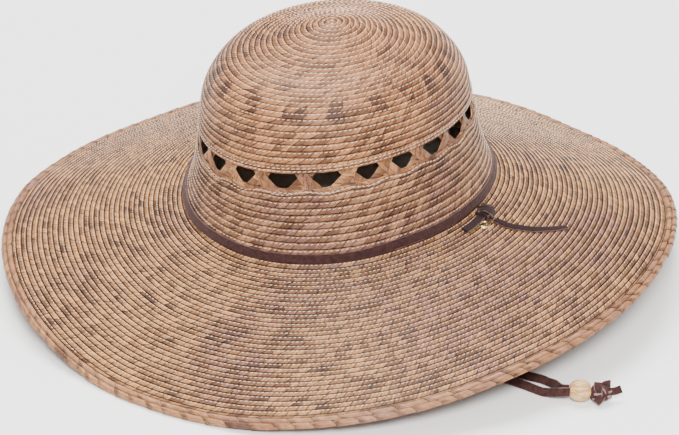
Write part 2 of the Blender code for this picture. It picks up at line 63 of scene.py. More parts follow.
VENT_TILT_SIDE = 0.05
VENT_TILT_FRONT = -0.03
BEND_POINTS = 14
BRIM_POINTS = 40

# Half section of the crown: share of the foot's half width, share of the crown's height
CROWN_SECTION = (
    (1.000, 0.000),
    (0.963, 0.080),
    (0.916, 0.200),
    (0.881, 0.350),
    (0.852, 0.500),
    (0.819, 0.650),
    (0.716, 0.785),
    (0.400, 0.896),
    (0.000, 1.000),
)

# Form of the brim: degrees round the hat, then the fold's and the rim's share of FOLD_HEIGHT
BRIM_FORM = (
    (0, 1.094, 0.615),
    (30, 1.026, 0.422),
    (52, 0.965, 0.155),
    (72, 0.925, 0.000),
    (96, 0.909, 0.000),
    (118, 0.938, 0.048),
    (150, 0.997, 0.048),
    (180, 1.019, 0.213),
    (196, 1.008, 0.350),
    (212, 0.992, 0.400),
    (235, 0.964, 0.265),
    (258, 0.962, 0.000),
    (272, 0.980, 0.000),
    (300, 1.034, 0.225),
    (330, 1.094, 0.525),
)


def lengths_along(points):
    """Length travelled along a line up to each of its points."""
    steps = np.linalg.norm(np.diff(np.array(points, float), axis=0), axis=1)
    return np.concatenate([[0], np.cumsum(steps)])


def smooth_curve(points, count, after=None):
    """Evenly spread points of one smooth curve through the given points."""
    points = [np.array(point, float) for point in points]
    start = 2 * points[0] - points[1]
    end = 2 * points[-1] - points[-2] if after is None else np.array(after, float)
    padded = np.array([start] + points + [end])
    steps = np.linalg.norm(np.diff(padded, axis=0), axis=1)
    slopes = np.diff(padded, axis=0) / steps[:, None]
    share = steps[1:] / (steps[:-1] + steps[1:])
    tangents = slopes[:-1] * share[:, None] + slopes[1:] * (1 - share)[:, None]
    dense = []
    for index in range(len(points) - 1):
        step = steps[index + 1]
        for t in np.linspace(0, 1, 40, endpoint=False):
            start_weight = 2 * t**3 - 3 * t**2 + 1
            end_weight = 3 * t**2 - 2 * t**3
            dense.append(start_weight * points[index] + end_weight * points[index + 1]
                         + (t**3 - 2 * t**2 + t) * step * tangents[index]
                         + (t**3 - t**2) * step * tangents[index + 1])
    dense = np.array(dense + [points[-1]])
    travelled = lengths_along(dense)
    wanted = np.linspace(0, travelled[-1], count)
    return np.stack([np.interp(wanted, travelled, column) for column in dense.T], axis=-1)


def smooth_values(places, values, wanted):
    """Values of a smooth line through a table, which never swings past the table's own values."""
    places = np.array(places, float)
    values = np.array(values, float)
    steps = np.diff(places)
    slopes = np.diff(values) / steps
    tangents = np.zeros(len(values))
    for index in range(1, len(values) - 1):
        before, after = slopes[index - 1], slopes[index]
        if before * after > 0:
            weight_before = 2 * steps[index] + steps[index - 1]
            weight_after = steps[index] + 2 * steps[index - 1]
            tangents[index] = ((weight_before + weight_after)
                               / (weight_before / before + weight_after / after))
    index = np.clip(np.searchsorted(places, wanted, side="right") - 1, 0, len(steps) - 1)
    t = (wanted - places[index]) / steps[index]
    return ((2 * t**3 - 3 * t**2 + 1) * values[index]
            + (3 * t**2 - 2 * t**3) * values[index + 1]
            + (t**3 - 2 * t**2 + t) * steps[index] * tangents[index]
            + (t**3 - t**2) * steps[index] * tangents[index + 1])


def round_hat(column, angles):
    """Values of a BRIM_FORM column at angles round the hat."""
    places = [row[0] + turn for turn in (-360, 0, 360) for row in BRIM_FORM]
    values = [row[column] for _ in range(3) for row in BRIM_FORM]
    return smooth_values(places, values, np.degrees(angles) % 360)


section = smooth_curve(CROWN_SECTION, 400, after=(-CROWN_SECTION[-2][0], CROWN_SECTION[-2][1]))
section_widths = section[:, 0]
section_heights = np.maximum.accumulate(section[:, 1])
seam_share = SEAM_HEIGHT / CROWN_HEIGHT
above_seam = section_heights > seam_share
crown_shares = np.append(section_heights[above_seam][::-1], seam_share)
crown_widths = np.append(section_widths[above_seam][::-1],
                         np.interp(seam_share, section_heights, section_widths))


def brim_slopes(angles):
    """Fall of the brim below level at each angle."""
    lever = BRIM_WIDTH - EDGE_ROUND
    depth = (STRAW_WALL + EDGE_THICKNESS) / 2 - EDGE_ROUND
    drop = FOLD_HEIGHT * (round_hat(1, angles) - round_hat(2, angles)) - EDGE_ROUND
    return np.arcsin(drop / math.hypot(lever, depth)) - math.atan2(depth, lever)


def hat_lines(angles):
    """Points down the hat's outer face at each angle, from the crown's top over the fold to the rim."""
    cosine, sine = np.cos(angles), np.sin(angles)
    fold = FOLD_HEIGHT * round_hat(1, angles)
    top = FOLD_HEIGHT + CROWN_HEIGHT
    lengths = crown_widths * (1 + CROWN_STRETCH_SHARE * crown_shares)
    crown = np.stack([
        FOOT_HALF_WIDTH * cosine[:, None] * crown_widths + CROWN_LEAN_SIDE * crown_shares,
        FOOT_HALF_LENGTH * sine[:, None] * lengths + CROWN_LEAN_FRONT * crown_shares,
        fold[:, None] * (1 - crown_shares) + top * crown_shares,
    ], axis=-1)
    outward = np.stack([FOOT_HALF_LENGTH * cosine, FOOT_HALF_WIDTH * sine, 0 * sine], axis=-1)
    outward /= np.linalg.norm(outward, axis=-1, keepdims=True)
    slopes = brim_slopes(angles)
    along = outward * np.cos(slopes)[:, None] - np.sin(slopes)[:, None] * np.array([0, 0, 1])
    corner = np.stack([FOOT_HALF_WIDTH * cosine, FOOT_HALF_LENGTH * sine, fold], axis=-1)
    distances = np.linspace(SEAM_HEIGHT, BRIM_WIDTH, BRIM_POINTS)
    brim = corner[:, None] + along[:, None] * distances[:, None]
    shares = np.linspace(1, 0, BEND_POINTS + 2)[1:-1, None]
    bend = (brim[:, :1] * (1 - shares) ** 2 + corner[:, None] * 2 * shares * (1 - shares)
            + crown[:, -1:] * shares**2)
    return np.concatenate([crown, bend, brim], axis=1)


def hat_form(angles):
    """Distance travelled down the hat at each angle, with each point's place, way out and way down."""
    lines = hat_lines(angles)
    turn = 0.002
    round_way = hat_lines(angles + turn) - hat_lines(angles - turn)
    down = np.gradient(lines, axis=1)
    down /= np.linalg.norm(down, axis=-1, keepdims=True)
    out = np.cross(down, round_way)
    size = np.linalg.norm(out, axis=-1, keepdims=True)
    out = np.where(size > 1e-12, out / np.maximum(size, 1e-12), [0, 0, 1])
    steps = np.linalg.norm(np.diff(lines, axis=1), axis=-1)
    travelled = np.concatenate([np.zeros((len(angles), 1)), np.cumsum(steps, axis=1)], axis=1)
    return travelled, np.concatenate([lines, out, down], axis=-1)


def on_hat(form, travel, lift):
    """Places, ways out and ways down at distances from the crown's top, one column for each angle."""
    travelled, facts = form
    rows = np.empty(travel.shape + (9,))
    for column in range(travel.shape[1]):
        line = travelled[column]
        index = np.clip(np.searchsorted(line, travel[:, column]), 1, len(line) - 1)
        share = (travel[:, column] - line[index - 1]) / (line[index] - line[index - 1])
        rows[:, column] = (facts[column, index - 1] * (1 - share)[:, None]
                           + facts[column, index] * share[:, None])
    return rows[..., :3] + rows[..., 3:6] * lift[..., None], rows[..., 3:6], rows[..., 6:9]


def travel_at(form, shares):
    """Distance from the crown's top down to a height share of the crown, one for each angle."""
    crown = len(crown_shares)
    return np.array([np.interp(share, crown_shares[::-1], line[:crown][::-1])
                     for share, line in zip(shares, form[0])])


def vent_edge(angles, side):
    """Height share of the vent row's lower edge (side -1), middle (0) or upper edge (1)."""
    middle = VENT_SHARE + VENT_TILT_SIDE * np.cos(angles) + VENT_TILT_FRONT * np.sin(angles)
    return middle + side * VENT_BAND / 2 / CROWN_HEIGHT


# The spiral of braid starts at the back of the hat
SPIRAL_START = math.radians(90)


def whole_turn(count):
    """Angles once round the hat, with the share of the turn that each has come."""
    turns = np.linspace(0, 1, count + 1)
    return SPIRAL_START + 2 * math.pi * turns, turns


def hand_wander(rows, turns, size, seed):
    """Small unevenness of hand work along each row, which dies out where a turn meets the next."""
    dice = np.random.default_rng(seed)
    wander = np.zeros((rows, len(turns)))
    for waves in (3, 5, 8, 13, 21):
        phase = dice.uniform(0, 2 * math.pi, (rows, 1))
        wander += np.sin(2 * math.pi * waves * turns + phase) / math.sqrt(waves)
    return wander * size * np.minimum(1, 12 * np.sin(math.pi * turns) ** 2)


def lapped_lines(edges, profile, pitch):
    """Distances down the hat and heights of a row's profile lines, for each row between two edges."""
    travel, lift, across = [], [], []
    for row in range(len(edges) - 1):
        width = edges[row + 1] - edges[row]
        full = np.clip(width / (0.7 * pitch), 0, 1)
        for share, height in profile[:-1]:
            travel.append(edges[row] + width * share)
            lift.append(height * full)
            across.append(row + share)
    travel.append(edges[-1])
    lift.append(profile[-1][1] + 0 * edges[-1])
    across.append(len(edges) - 1)
    return np.array(travel), np.array(lift), np.array(across, float)


def sheet_mesh(name, places, across, outside=True):
    """Sheet through lines of places, with a map of the length along a row and the row across it."""
    rows, columns = places.shape[:2]
    index = np.arange(rows * columns).reshape(rows, columns)
    along = np.concatenate([np.zeros((rows, 1)), np.cumsum(
        np.linalg.norm(np.diff(places, axis=1), axis=-1), axis=1)], axis=1)
    row_of = np.floor((across[:-1] + across[1:]) / 2).astype(int)
    middle = {}
    for line, row in enumerate(row_of):
        middle.setdefault(row, []).append(line)
    level = np.array([along[middle[row][len(middle[row]) // 2]] for row in row_of])
    top, bottom = across[:-1, None], across[1:, None]
    flat = np.ones((1, columns - 1))
    corners = [index[:-1, :-1], index[1:, :-1], index[1:, 1:], index[:-1, 1:]]
    lengths = [level[:, :-1], level[:, :-1], level[:, 1:], level[:, 1:]]
    heights = [top * flat, bottom * flat, bottom * flat, top * flat]
    if not outside:
        corners, lengths, heights = corners[::-1], lengths[::-1], heights[::-1]
    faces = np.stack(corners, axis=-1).reshape(-1, 4)
    mesh = bpy.data.meshes.new(name)
    mesh.from_pydata(places.reshape(-1, 3).tolist(), [], faces.tolist())
    layer = mesh.uv_layers.new(name="weave")
    layer.data.foreach_set("uv", np.stack([np.stack(lengths, axis=-1), np.stack(heights, axis=-1)],
                                          axis=-1).ravel())
    return welded(mesh)


# Corners sharper than this stay hard
SHARP_ANGLE = math.radians(62)


def welded(mesh):
    """The mesh with its touching points joined, shaded smooth except at hard corners."""
    shape = bmesh.new()
    shape.from_mesh(mesh)
    bmesh.ops.remove_doubles(shape, verts=shape.verts, dist=0.000002)
    shape.to_mesh(mesh)
    shape.free()
    mesh.shade_smooth()
    mesh.set_sharp_from_angle(angle=SHARP_ANGLE)
    return mesh


def add_piece(name, mesh, surface, nodes=()):
    """Show a piece of the hat, which rides on its body and stands for the named solids."""
    mesh.materials.clear()
    mesh.materials.append(surface)
    piece = bpy.data.objects.new(name, mesh)
    bpy.context.scene.collection.objects.link(piece)
    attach(piece, "root")
    if nodes:
        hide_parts(*nodes)
    return piece


class Value:
    """A value or colour in a node tree. Each step of arithmetic on it is one Math node."""

    def __init__(self, tree, socket):
        self.tree = tree
        self.socket = socket

    def by(self, operation, other=0.0, before=False, clamp=False):
        """This value worked on with another, which comes after it, or before it where said."""
        pair = (other, self) if before else (self, other)
        return add_node(self.tree, "ShaderNodeMath", dict(enumerate(pair)), operation=operation,
                        use_clamp=clamp)[0]

    def __add__(self, other):
        return self.by("ADD", other)

    def __sub__(self, other):
        return self.by("SUBTRACT", other)

    def __rsub__(self, other):
        return self.by("SUBTRACT", other, before=True)

    def __mul__(self, other):
        return self.by("MULTIPLY", other)

    def __truediv__(self, other):
        return self.by("DIVIDE", other)

    __radd__ = __add__
    __rmul__ = __mul__

    def ramp(self, low, high):
        """Smooth rise from 0 to 1 as the value goes from low to high."""
        return add_node(self.tree, "ShaderNodeMapRange",
                        {"Value": self, "From Min": low, "From Max": high},
                        interpolation_type="SMOOTHSTEP")["Result"]


class Outputs:
    """The outputs of a node as values, by name or number."""

    def __init__(self, tree, node):
        self.tree = tree
        self.node = node

    def __getitem__(self, key):
        return Value(self.tree, self.node.outputs[key])


def feed(tree, socket, value):
    """Give a socket a plain number or colour, or join it to a value of the tree."""
    if isinstance(value, Value):
        tree.links.new(value.socket, socket)
    else:
        socket.default_value = (*value, 1.0) if socket.type == "RGBA" else value


def add_node(tree, kind, feeds=None, **settings):
    """Outputs of a new node with these settings and these values on its inputs."""
    node = tree.nodes.new(kind)
    for key, value in settings.items():
        setattr(node, key, value)
    for key, value in (feeds or {}).items():
        feed(tree, node.inputs[key], value)
    return Outputs(tree, node)


def noise(place, scale, detail, **feeds):
    """Cloudy noise at a place in space."""
    return add_node(place.tree, "ShaderNodeTexNoise",
                    {"Vector": place, "Scale": scale, "Detail": detail, **feeds})


def flat_noise(first, second, detail, **feeds):
    """Cloudy noise over two values."""
    return add_node(first.tree, "ShaderNodeTexNoise",
                    {"Vector": both(first, second), "Scale": 1.0, "Detail": detail, **feeds},
                    noise_dimensions="2D")


def flat_dice(first, second):
    """Random value and colour for each pair of whole numbers."""
    return add_node(first.tree, "ShaderNodeTexWhiteNoise", {"Vector": both(first, second)},
                    noise_dimensions="2D")


def both(first, second):
    """Two values as one flat place."""
    return add_node(first.tree, "ShaderNodeCombineXYZ", {0: first, 1: second})[0]


def split(place):
    """The parts of a place or colour."""
    return add_node(place.tree, "ShaderNodeSeparateXYZ", {0: place})


def weave_map(tree):
    """Length along a row in metres, and the row with the share across it."""
    parts = split(add_node(tree, "ShaderNodeUVMap", uv_map="weave")[0])
    return parts[0], parts[1]


def spot(tree):
    """Place on the object in metres."""
    return add_node(tree, "ShaderNodeTexCoord")["Object"]


def mix(share, first, second):
    """Colour between two, by the share of the second."""
    return add_node(share.tree, "ShaderNodeMix", {0: share, 6: first, 7: second}, data_type="RGBA")[2]


def add_socket(group, label, way, colour):
    """Named colour or number socket of a group, on the way in or out."""
    return group.interface.new_socket(label, in_out=way,
                                      socket_type="NodeSocketColor" if colour else "NodeSocketFloat")


def start_group(name, **inputs):
    """Node group with named number or colour inputs, and those inputs as values."""
    group = bpy.data.node_groups.new(name, "ShaderNodeTree")
    for label, default in inputs.items():
        colour = isinstance(default, tuple)
        socket = add_socket(group, label.replace("_", " "), "INPUT", colour)
        socket.default_value = (*default, 1.0) if colour else default
    return group, add_node(group, "NodeGroupInput")


def end_group(group, **results):
    """The group with its named results joined to outputs of the same names."""
    for label, value in results.items():
        add_socket(group, label, "OUTPUT", value.socket.type == "RGBA")
    add_node(group, "NodeGroupOutput", results)
    return group


def make_strand_group():
    """Slanted strands of a braid: a random shade for each, and the dark joints between them."""
    group, given = start_group("braid_strands", Strand_Length=0.006, Slant=0.8, Joint_Width=0.06,
                               Row_Offset=37.0, Drift=1.6)
    length, height = weave_map(group)
    row, across = height.by("FLOOR"), height.by("FRACT")
    row_dice = add_node(group, "ShaderNodeTexWhiteNoise", {"W": row}, noise_dimensions="1D")["Value"]
    drift = flat_noise(length * 70.0, row, 1.0)[0]
    along = (length / given["Strand Length"] + across * given["Slant"]
             + row_dice * given["Row Offset"] + drift * given["Drift"])
    strand = flat_dice(along.by("FLOOR"), row)
    finer = along * 2.6
    return end_group(
        group, Shade=strand["Value"], Tint=split(strand["Color"])[1],
        Joint=1.0 - along.by("FRACT").ramp(0.0, given["Joint Width"]),
        Nick=1.0 - finer.by("FRACT").ramp(0.08, 0.26),
        Fleck=flat_dice(finer.by("FLOOR"), row)["Value"], Across=across, Row=height)


def make_leaf_group():
    """Colour of dried palm leaf: pale and tan strands, darker clusters and pinkish areas."""
    group, given = start_group(
        "palm_leaf", Shade=0.5, Tint=0.5, Dark_Share=0.14, Blush_Share=0.4, Streaky=0.4,
        Pale=(0.50, 0.35, 0.22), Tan=(0.38, 0.25, 0.16), Dark=(0.14, 0.075, 0.045),
        Blush=(0.36, 0.22, 0.17))
    place = spot(group)
    broad = noise(place, 11.0, 3.0)[0]
    length, height = weave_map(group)
    streaks = split(flat_noise(length * 60.0, height.by("FLOOR") * 0.55, 2.0)["Color"])
    cluster, patch = (
        round_one + given["Streaky"] * (long_one - round_one)
        for round_one, long_one in ((noise(place, 42.0, 2.0)[0], streaks[0]),
                                    (noise(place, 95.0, 2.0)[0], streaks[1])))
    shade = given["Shade"] * 0.62 + (broad - 0.38) * 1.5 + (patch - 0.5) * 1.1
    blush = broad.ramp(0.46, 0.66) * given["Blush Share"] * given["Tint"].ramp(0.1, 0.8)
    dark = given["Tint"] + (cluster - 0.5) * 1.5 - (1.0 - given["Dark Share"])
    colour = mix(blush, mix(shade.ramp(0.05, 0.95), given["Pale"], given["Tan"]), given["Blush"])
    return end_group(group, Color=mix(dark.ramp(0.0, 0.3) * 0.85, colour, given["Dark"]))


def make_fibre_group():
    """Fine fibres of the leaf that run along a strand, as a streak value and a relief height."""
    group, given = start_group("leaf_fibres", Along=260.0, Across=9.0)
    length, height = weave_map(group)
    fibre = flat_noise(length * given["Along"], height * given["Across"], 3.0, Roughness=0.6)[0]
    return end_group(group, Streak=fibre.ramp(0.25, 0.75), Relief=fibre)


def make_mark_group():
    """Dark dyed marks that stand in a ring round the crown, each over a few rows of braid."""
    group, given = start_group("dyed_marks", Row=0.0, First_Row=20.0, Last_Row=23.5, Count=19.0,
                               Turn=3.67, Wideness=0.40)
    place = spot(group)
    parts = split(place)
    turn = (parts[1].by("ARCTAN2", parts[0]) * (given["Count"] / (2 * math.pi))
            + noise(place, 45.0, 1.0)[0] * 0.7 + given["Turn"])
    off = (turn.by("FRACT") - 0.5).by("ABSOLUTE")
    near = off.by("LESS_THAN", given["Wideness"] / 2.0)
    after = given["Row"].by("GREATER_THAN", given["First Row"])
    before = given["Row"].by("LESS_THAN", given["Last Row"])
    return end_group(group, Mark=near * (after * before) * 0.8)


strand_group = make_strand_group()
leaf_group = make_leaf_group()
fibre_group = make_fibre_group()
mark_group = make_mark_group()


def start_material(name, roughness, metallic=0.0, specular=0.5):
    """Material with its Principled shader, whose constant values stand on the shader's own sockets."""
    surface = bpy.data.materials.new(name)
    surface.use_nodes = True
    shader = surface.node_tree.nodes["Principled BSDF"]
    shader.inputs["Roughness"].default_value = roughness
    shader.inputs["Metallic"].default_value = metallic
    shader.inputs["Specular IOR Level"].default_value = specular
    return surface, surface.node_tree, shader.inputs


def use_group(tree, group, feeds=None):
    """Outputs of a group placed in a material with its own values."""
    return add_node(tree, "ShaderNodeGroup", feeds, node_tree=group)


def add_relief(tree, sockets, height, strength, depth):
    """Fine relief on a surface, from a height that goes from 0 to 1 over the depth."""
    bump = add_node(tree, "ShaderNodeBump", {"Height": height, "Strength": strength, "Distance": depth})
    feed(tree, sockets["Normal"], bump[0])


def palm_material(name, roughness, strands, leaf, painted_lap_shade=0.7, painted_row_shade=0.2, marks=False,
                  groove_start=0.86, joint=0.85):
    """Dried palm: strands with their own shades, fine fibres, painted shade in the grooves along the
    laps, and each row painted darker towards its lower edge.
    """
    surface, tree, sockets = start_material(name, roughness, specular=0.22)
    strand = use_group(tree, strand_group, strands)
    tint, across = strand["Tint"], strand["Across"]
    if marks:
        tint = tint + use_group(tree, mark_group, {"Row": strand["Row"]})["Mark"]
    colour = use_group(tree, leaf_group, {"Shade": strand["Shade"], "Tint": tint, **leaf})["Color"]
    fibre = use_group(tree, fibre_group)
    # Painted shade: the colour is darkened in the grooves at both edges of each row, where the rows lap.
    # A negative amount paints a highlight there instead.
    lap = across.ramp(groove_start, groove_start + 0.10) + (1.0 - across.ramp(0.01, 0.06))
    # Painted shade: each row is darkened towards its lower edge, as shade where it slopes in under the
    # next row. The streaks, flecks, joints and nicks are the leaf's own tone.
    light = ((0.70 + fibre["Streak"] * 0.60) * (1.0 - across * painted_row_shade) * (0.80 + strand["Fleck"] * 0.40)
             - lap * painted_lap_shade - strand["Joint"] * joint - strand["Nick"] * 0.45).by("MAXIMUM", 0.06)
    shaded = add_node(tree, "ShaderNodeVectorMath", {0: colour, "Scale": light}, operation="SCALE")
    feed(tree, sockets["Base Color"], shaded[0])
    add_relief(tree, sockets, fibre["Relief"] - strand["Joint"], 0.8, 0.00008)
    return surface


DOME_ROWS = 31
DOME_SECTORS = 384
INNER_SECTORS = 256
VENT_HEM = 0.0016
CROWN_PITCH = 0.0033
# The last rows of the dome stand up over the ends of the vent strips
HEM_RISE = 0.0004
HEM_REACH = 0.006
# Lower edge of the dome, turned in through the wall: distance past the last row, height
DOME_HEM = ((0.0002, 0.0002), (0.0, -0.0010), (-0.0010, -STRAW_WALL))
HEM_MAP = np.array((0.01, 0.02, 0.03))
# One lapped row from its upper edge to where the next row covers it: share of the row, height
ROW_PROFILE = ((0.0, -0.00034), (0.05, 0.00024), (0.16, 0.00038), (0.40, 0.00032),
               (0.82, 0.00012), (1.0, -0.00034))
INNER_PROFILE = ((0.0, -0.00020), (0.45, 0.00006), (0.92, 0.00020), (1.0, -0.00020))
ROW_WANDER = 0.00009


def spiral_edges(rows, turns):
    """Row counts from the start that the edges of a spiral's rows have, at each share of a turn."""
    return np.clip(np.arange(-1, rows + 1)[:, None] + turns, 0, rows)


dome_angles, dome_turns = whole_turn(DOME_SECTORS)
dome_form = hat_form(dome_angles)
dome_end = travel_at(dome_form, vent_edge(dome_angles, 1)) + VENT_HEM
dome_edges = spiral_edges(DOME_ROWS, dome_turns) / DOME_ROWS * dome_end
dome_edges[1:-1] += hand_wander(DOME_ROWS, dome_turns, ROW_WANDER, 3)
dome_travel, dome_lift, dome_across = lapped_lines(dome_edges, ROW_PROFILE, CROWN_PITCH)
dome_lift = dome_lift + HEM_RISE * np.clip(1 - (dome_end - dome_travel) / HEM_REACH, 0, 1)
hem_travel, hem_lift = np.array(DOME_HEM).T[..., None]
dome_travel = np.concatenate([dome_travel[:-1], hem_travel + dome_end])
dome_lift = np.concatenate([dome_lift[:-1], hem_lift + 0 * dome_end])
dome_across = np.concatenate([dome_across[:-1], dome_across[-1] - HEM_MAP[::-1]])
dome_places = on_hat(dome_form, dome_travel, dome_lift)[0]
CROWN_STRANDS = {"Strand Length": 0.0060, "Slant": 0.75, "Joint Width": 0.20}
# Painted shade in the grooves between rows and down each row, at the default amounts.
crown_straw = palm_material("crown_straw", 0.5, CROWN_STRANDS, {
    "Dark Share": 0.15, "Blush Share": 0.5,
    "Pale": (0.392, 0.170, 0.071), "Tan": (0.118, 0.045, 0.018), "Dark": (0.062, 0.022, 0.013),
    "Blush": (0.29, 0.135, 0.094)}, marks=True)
add_piece("dome_braid", sheet_mesh("dome_braid", dome_places, dome_across), crown_straw,
          ("crown_dome",))


def inner_rows(name, rows, sectors, first_edge, last_edge, surface, wander):
    """Underside of the lapped rows, seen inside the hat, between two lines round it."""
    angles, turns = whole_turn(sectors)
    form = hat_form(angles)
    start, end = first_edge(form, angles), last_edge(form, angles)
    edges = start + spiral_edges(rows, turns) / rows * (end - start)
    edges[1:-1] += hand_wander(rows, turns, ROW_WANDER, wander)
    travel, lift, across = lapped_lines(edges, INNER_PROFILE, CROWN_PITCH)
    places = on_hat(form, travel, -STRAW_WALL - lift)[0]
    return add_piece(name, sheet_mesh(name, places, across, outside=False), surface)


# Painted shade: a darker copy of the crown straw for the inside of the crown, which lies in shade.
shaded_inner_straw = palm_material("shaded_inner_straw", 0.6, CROWN_STRANDS, {
    "Dark Share": 0.12, "Blush Share": 0.3,
    "Pale": (0.20, 0.105, 0.052), "Tan": (0.11, 0.052, 0.026), "Dark": (0.045, 0.02, 0.012),
    "Blush": (0.14, 0.07, 0.05)})
inner_rows("dome_inner_rows", DOME_ROWS, INNER_SECTORS, lambda form, angles: 0 * angles,
           lambda form, angles: travel_at(form, vent_edge(angles, 1)) + VENT_HEM, shaded_inner_straw, 4)

# Dome stitches
# Cream cotton thread of the sewing machine that holds the turns of braid together.
# It shows as short slanted dashes just inside the upper edge of each turn.
STITCH_WIDTH = 0.00042
STITCH_HEIGHT = 0.00026
STITCH_SLANT = math.radians(9)
CROWN_STITCH_PITCH = 0.0030
CROWN_STITCH_LENGTH = 0.0022
STITCH_SHARE = 0.22
STITCH_LIFT = 0.00038
STITCH_STRAY = 0.05
STITCH_TURN = 0.06
STITCH_LENGTHS = (0.85, 1.12)
# The two seams that hold the dome's lower edge: distance above it, and their height
HEM_SEAMS = ((0.0012,), (0.0030,))
HEM_SEAM_LIFT = 0.00074
# Corners of one stitch: share of its length, of its width and of its height
STITCH_CORNERS = np.array((
    (-0.50, 0.00, -0.6), (-0.30, -0.50, -0.3), (0.30, -0.50, -0.3), (0.50, 0.00, -0.6),
    (0.30, 0.50, -0.3), (-0.30, 0.50, -0.3), (-0.26, 0.00, 1.0), (0.26, 0.00, 1.0)))
STITCH_FACES = ((0, 1, 6), (0, 6, 5), (1, 2, 7, 6), (5, 6, 7, 4), (2, 3, 7), (3, 4, 7))


def add_stitches(name, lines, pitch, length, seed):
    """Show raised stitches along lines of places on the hat, given with the ways out of the straw."""
    dice = np.random.default_rng(seed)
    corners = []
    for places, outs in lines:
        travelled = lengths_along(places)
        count = int(travelled[-1] / pitch)
        if count < 2:
            continue
        wanted = (np.arange(count) + dice.uniform(0, 1)) * travelled[-1] / count
        wanted = wanted + dice.normal(0, STITCH_STRAY * pitch, count)
        ahead = np.gradient(places, axis=0)
        facts = np.concatenate([places, outs, ahead], axis=1)
        found = np.stack([np.interp(wanted, travelled, column) for column in facts.T], axis=-1)
        centre, out, ahead = found[:, :3], found[:, 3:6], found[:, 6:9]
        ahead = ahead / np.linalg.norm(ahead, axis=1, keepdims=True)
        side = np.cross(out, ahead)
        slant = STITCH_SLANT + dice.normal(0, STITCH_TURN, count)[:, None]
        along = ahead * np.cos(slant) + side * np.sin(slant)
        across = np.cross(out, along)
        longer = length * dice.uniform(*STITCH_LENGTHS, count)
        corners.append(centre[:, None]
                       + along[:, None] * (longer[:, None] * STITCH_CORNERS[:, 0])[..., None]
                       + across[:, None] * (STITCH_CORNERS[:, 1] * STITCH_WIDTH)[:, None]
                       + out[:, None] * (STITCH_CORNERS[:, 2] * STITCH_HEIGHT)[:, None])
    corners = np.concatenate(corners)
    faces = [tuple(corner + 8 * stitch for corner in face)
             for stitch in range(len(corners)) for face in STITCH_FACES]
    mesh = bpy.data.meshes.new(name)
    mesh.from_pydata(corners.reshape(-1, 3).tolist(), [], faces)
    mesh.shade_smooth()
    add_piece(name, mesh, cotton_thread)


def row_lines(form, edges, pitch, share, lift):
    """Lines of places along each row at a share across it, where the row has its full width."""
    width = np.diff(edges, axis=0)
    travel = edges[:-1] + width * share
    places, outs, _ = on_hat(form, travel, lift + 0 * travel)
    lines = []
    for row in range(len(travel)):
        wide = width[row] > 0.6 * pitch
        if wide.sum() > 3:
            lines.append((places[row][wide], outs[row][wide]))
    return lines


def make_thread_material():
    """Cream cotton thread, a little uneven and matt."""
    surface, tree, sockets = start_material("cotton_thread", 0.7, specular=0.25)
    place = spot(tree)
    colour = mix(noise(place, 260.0, 2.0)[0].ramp(0.3, 0.7), (0.60, 0.42, 0.30), (0.82, 0.63, 0.49))
    feed(tree, sockets["Base Color"], colour)
    add_relief(tree, sockets, noise(place, 2600.0, 1.0)[0], 0.5, 0.00008)
    return surface


cotton_thread = make_thread_material()
dome_seams = row_lines(dome_form, dome_edges, CROWN_PITCH, STITCH_SHARE, STITCH_LIFT)
last_seam = dome_end - np.array(HEM_SEAMS)
last_places, last_outs, _ = on_hat(dome_form, last_seam, HEM_SEAM_LIFT + 0 * last_seam)
dome_seams = dome_seams[:-1] + list(zip(last_places, last_outs))
add_stitches("dome_stitches", dome_seams, CROWN_STITCH_PITCH, CROWN_STITCH_LENGTH, 11)

# Vent strips
# Open row round the crown where folded palm strips cross in an X between the vents.
# Their ends are caught under the rows of braid above and below, and the gaps are the vents.
VENT_COUNT = 22
VENT_HEIGHT = 0.0096
VENT_FIRST_ANGLE = math.radians(-0.8)
# How far each hand-worked vent sits off even spacing, as a share of the pitch
VENT_SHIFTS = (
    0.00, 0.09, 0.03, -0.04, 0.02, 0.05, -0.03, -0.05, 0.04, 0.00, -0.04,
    0.05, 0.02, 0.04, 0.10, 0.04, -0.05, -0.04, 0.07, 0.01, -0.06, -0.07,
)
STRIP_WIDTH = 0.0037
STRIP_THICKNESS = 0.00042
STRIP_OFFSET = 0.00145
STRIP_STEEP = math.radians(56)
STRIP_SHALLOW = math.radians(45)
# The strips cross a little above the vents' middle, and their ends are caught under the braid
STRIP_RISE = 0.13 * VENT_HEIGHT
STRIP_CAUGHT_ABOVE = 0.0016
STRIP_CAUGHT_BELOW = 0.0019
# The two halves of a folded strip lie apart in this direction, in radians off upright
LANE_ANGLE = 0.87
LANE_STEP = 0.00026
STRIP_WAVER = 0.05
STRIP_UNEVEN = 0.0003
STRIP_DEPTH = 0.0008
CROSSING_REACH = 0.45
END_DROP = 0.00035
STRIP_STEPS = np.linspace(-1, 1, 11)
# Height of the strip that lies over a crossing and of the one under it
STRIP_OVER = 0.0007
STRIP_UNDER = -0.0006
# Level strips along the foot of the vents: shift in vents, height off their middle, width, lift
BASE_STRIPS = ((0.0, -0.0064, 0.0030, -0.0012), (0.5, -0.0062, 0.0026, -0.0003))
BASE_STEPS = np.linspace(-1, 1, 13)
BASE_REACH = 0.53
BASE_SAG = 0.0022
BASE_BEND = 1.4
BASE_TILT = 0.0003
# Outline of a strip or lace across its width: share of the half width, share of the half thickness
STRIP_OUTLINE = ((-1, 0), (-0.82, -0.9), (0, -1), (0.82, -0.9), (1, 0), (0.82, 0.9), (0, 1),
                 (-0.82, 0.9))


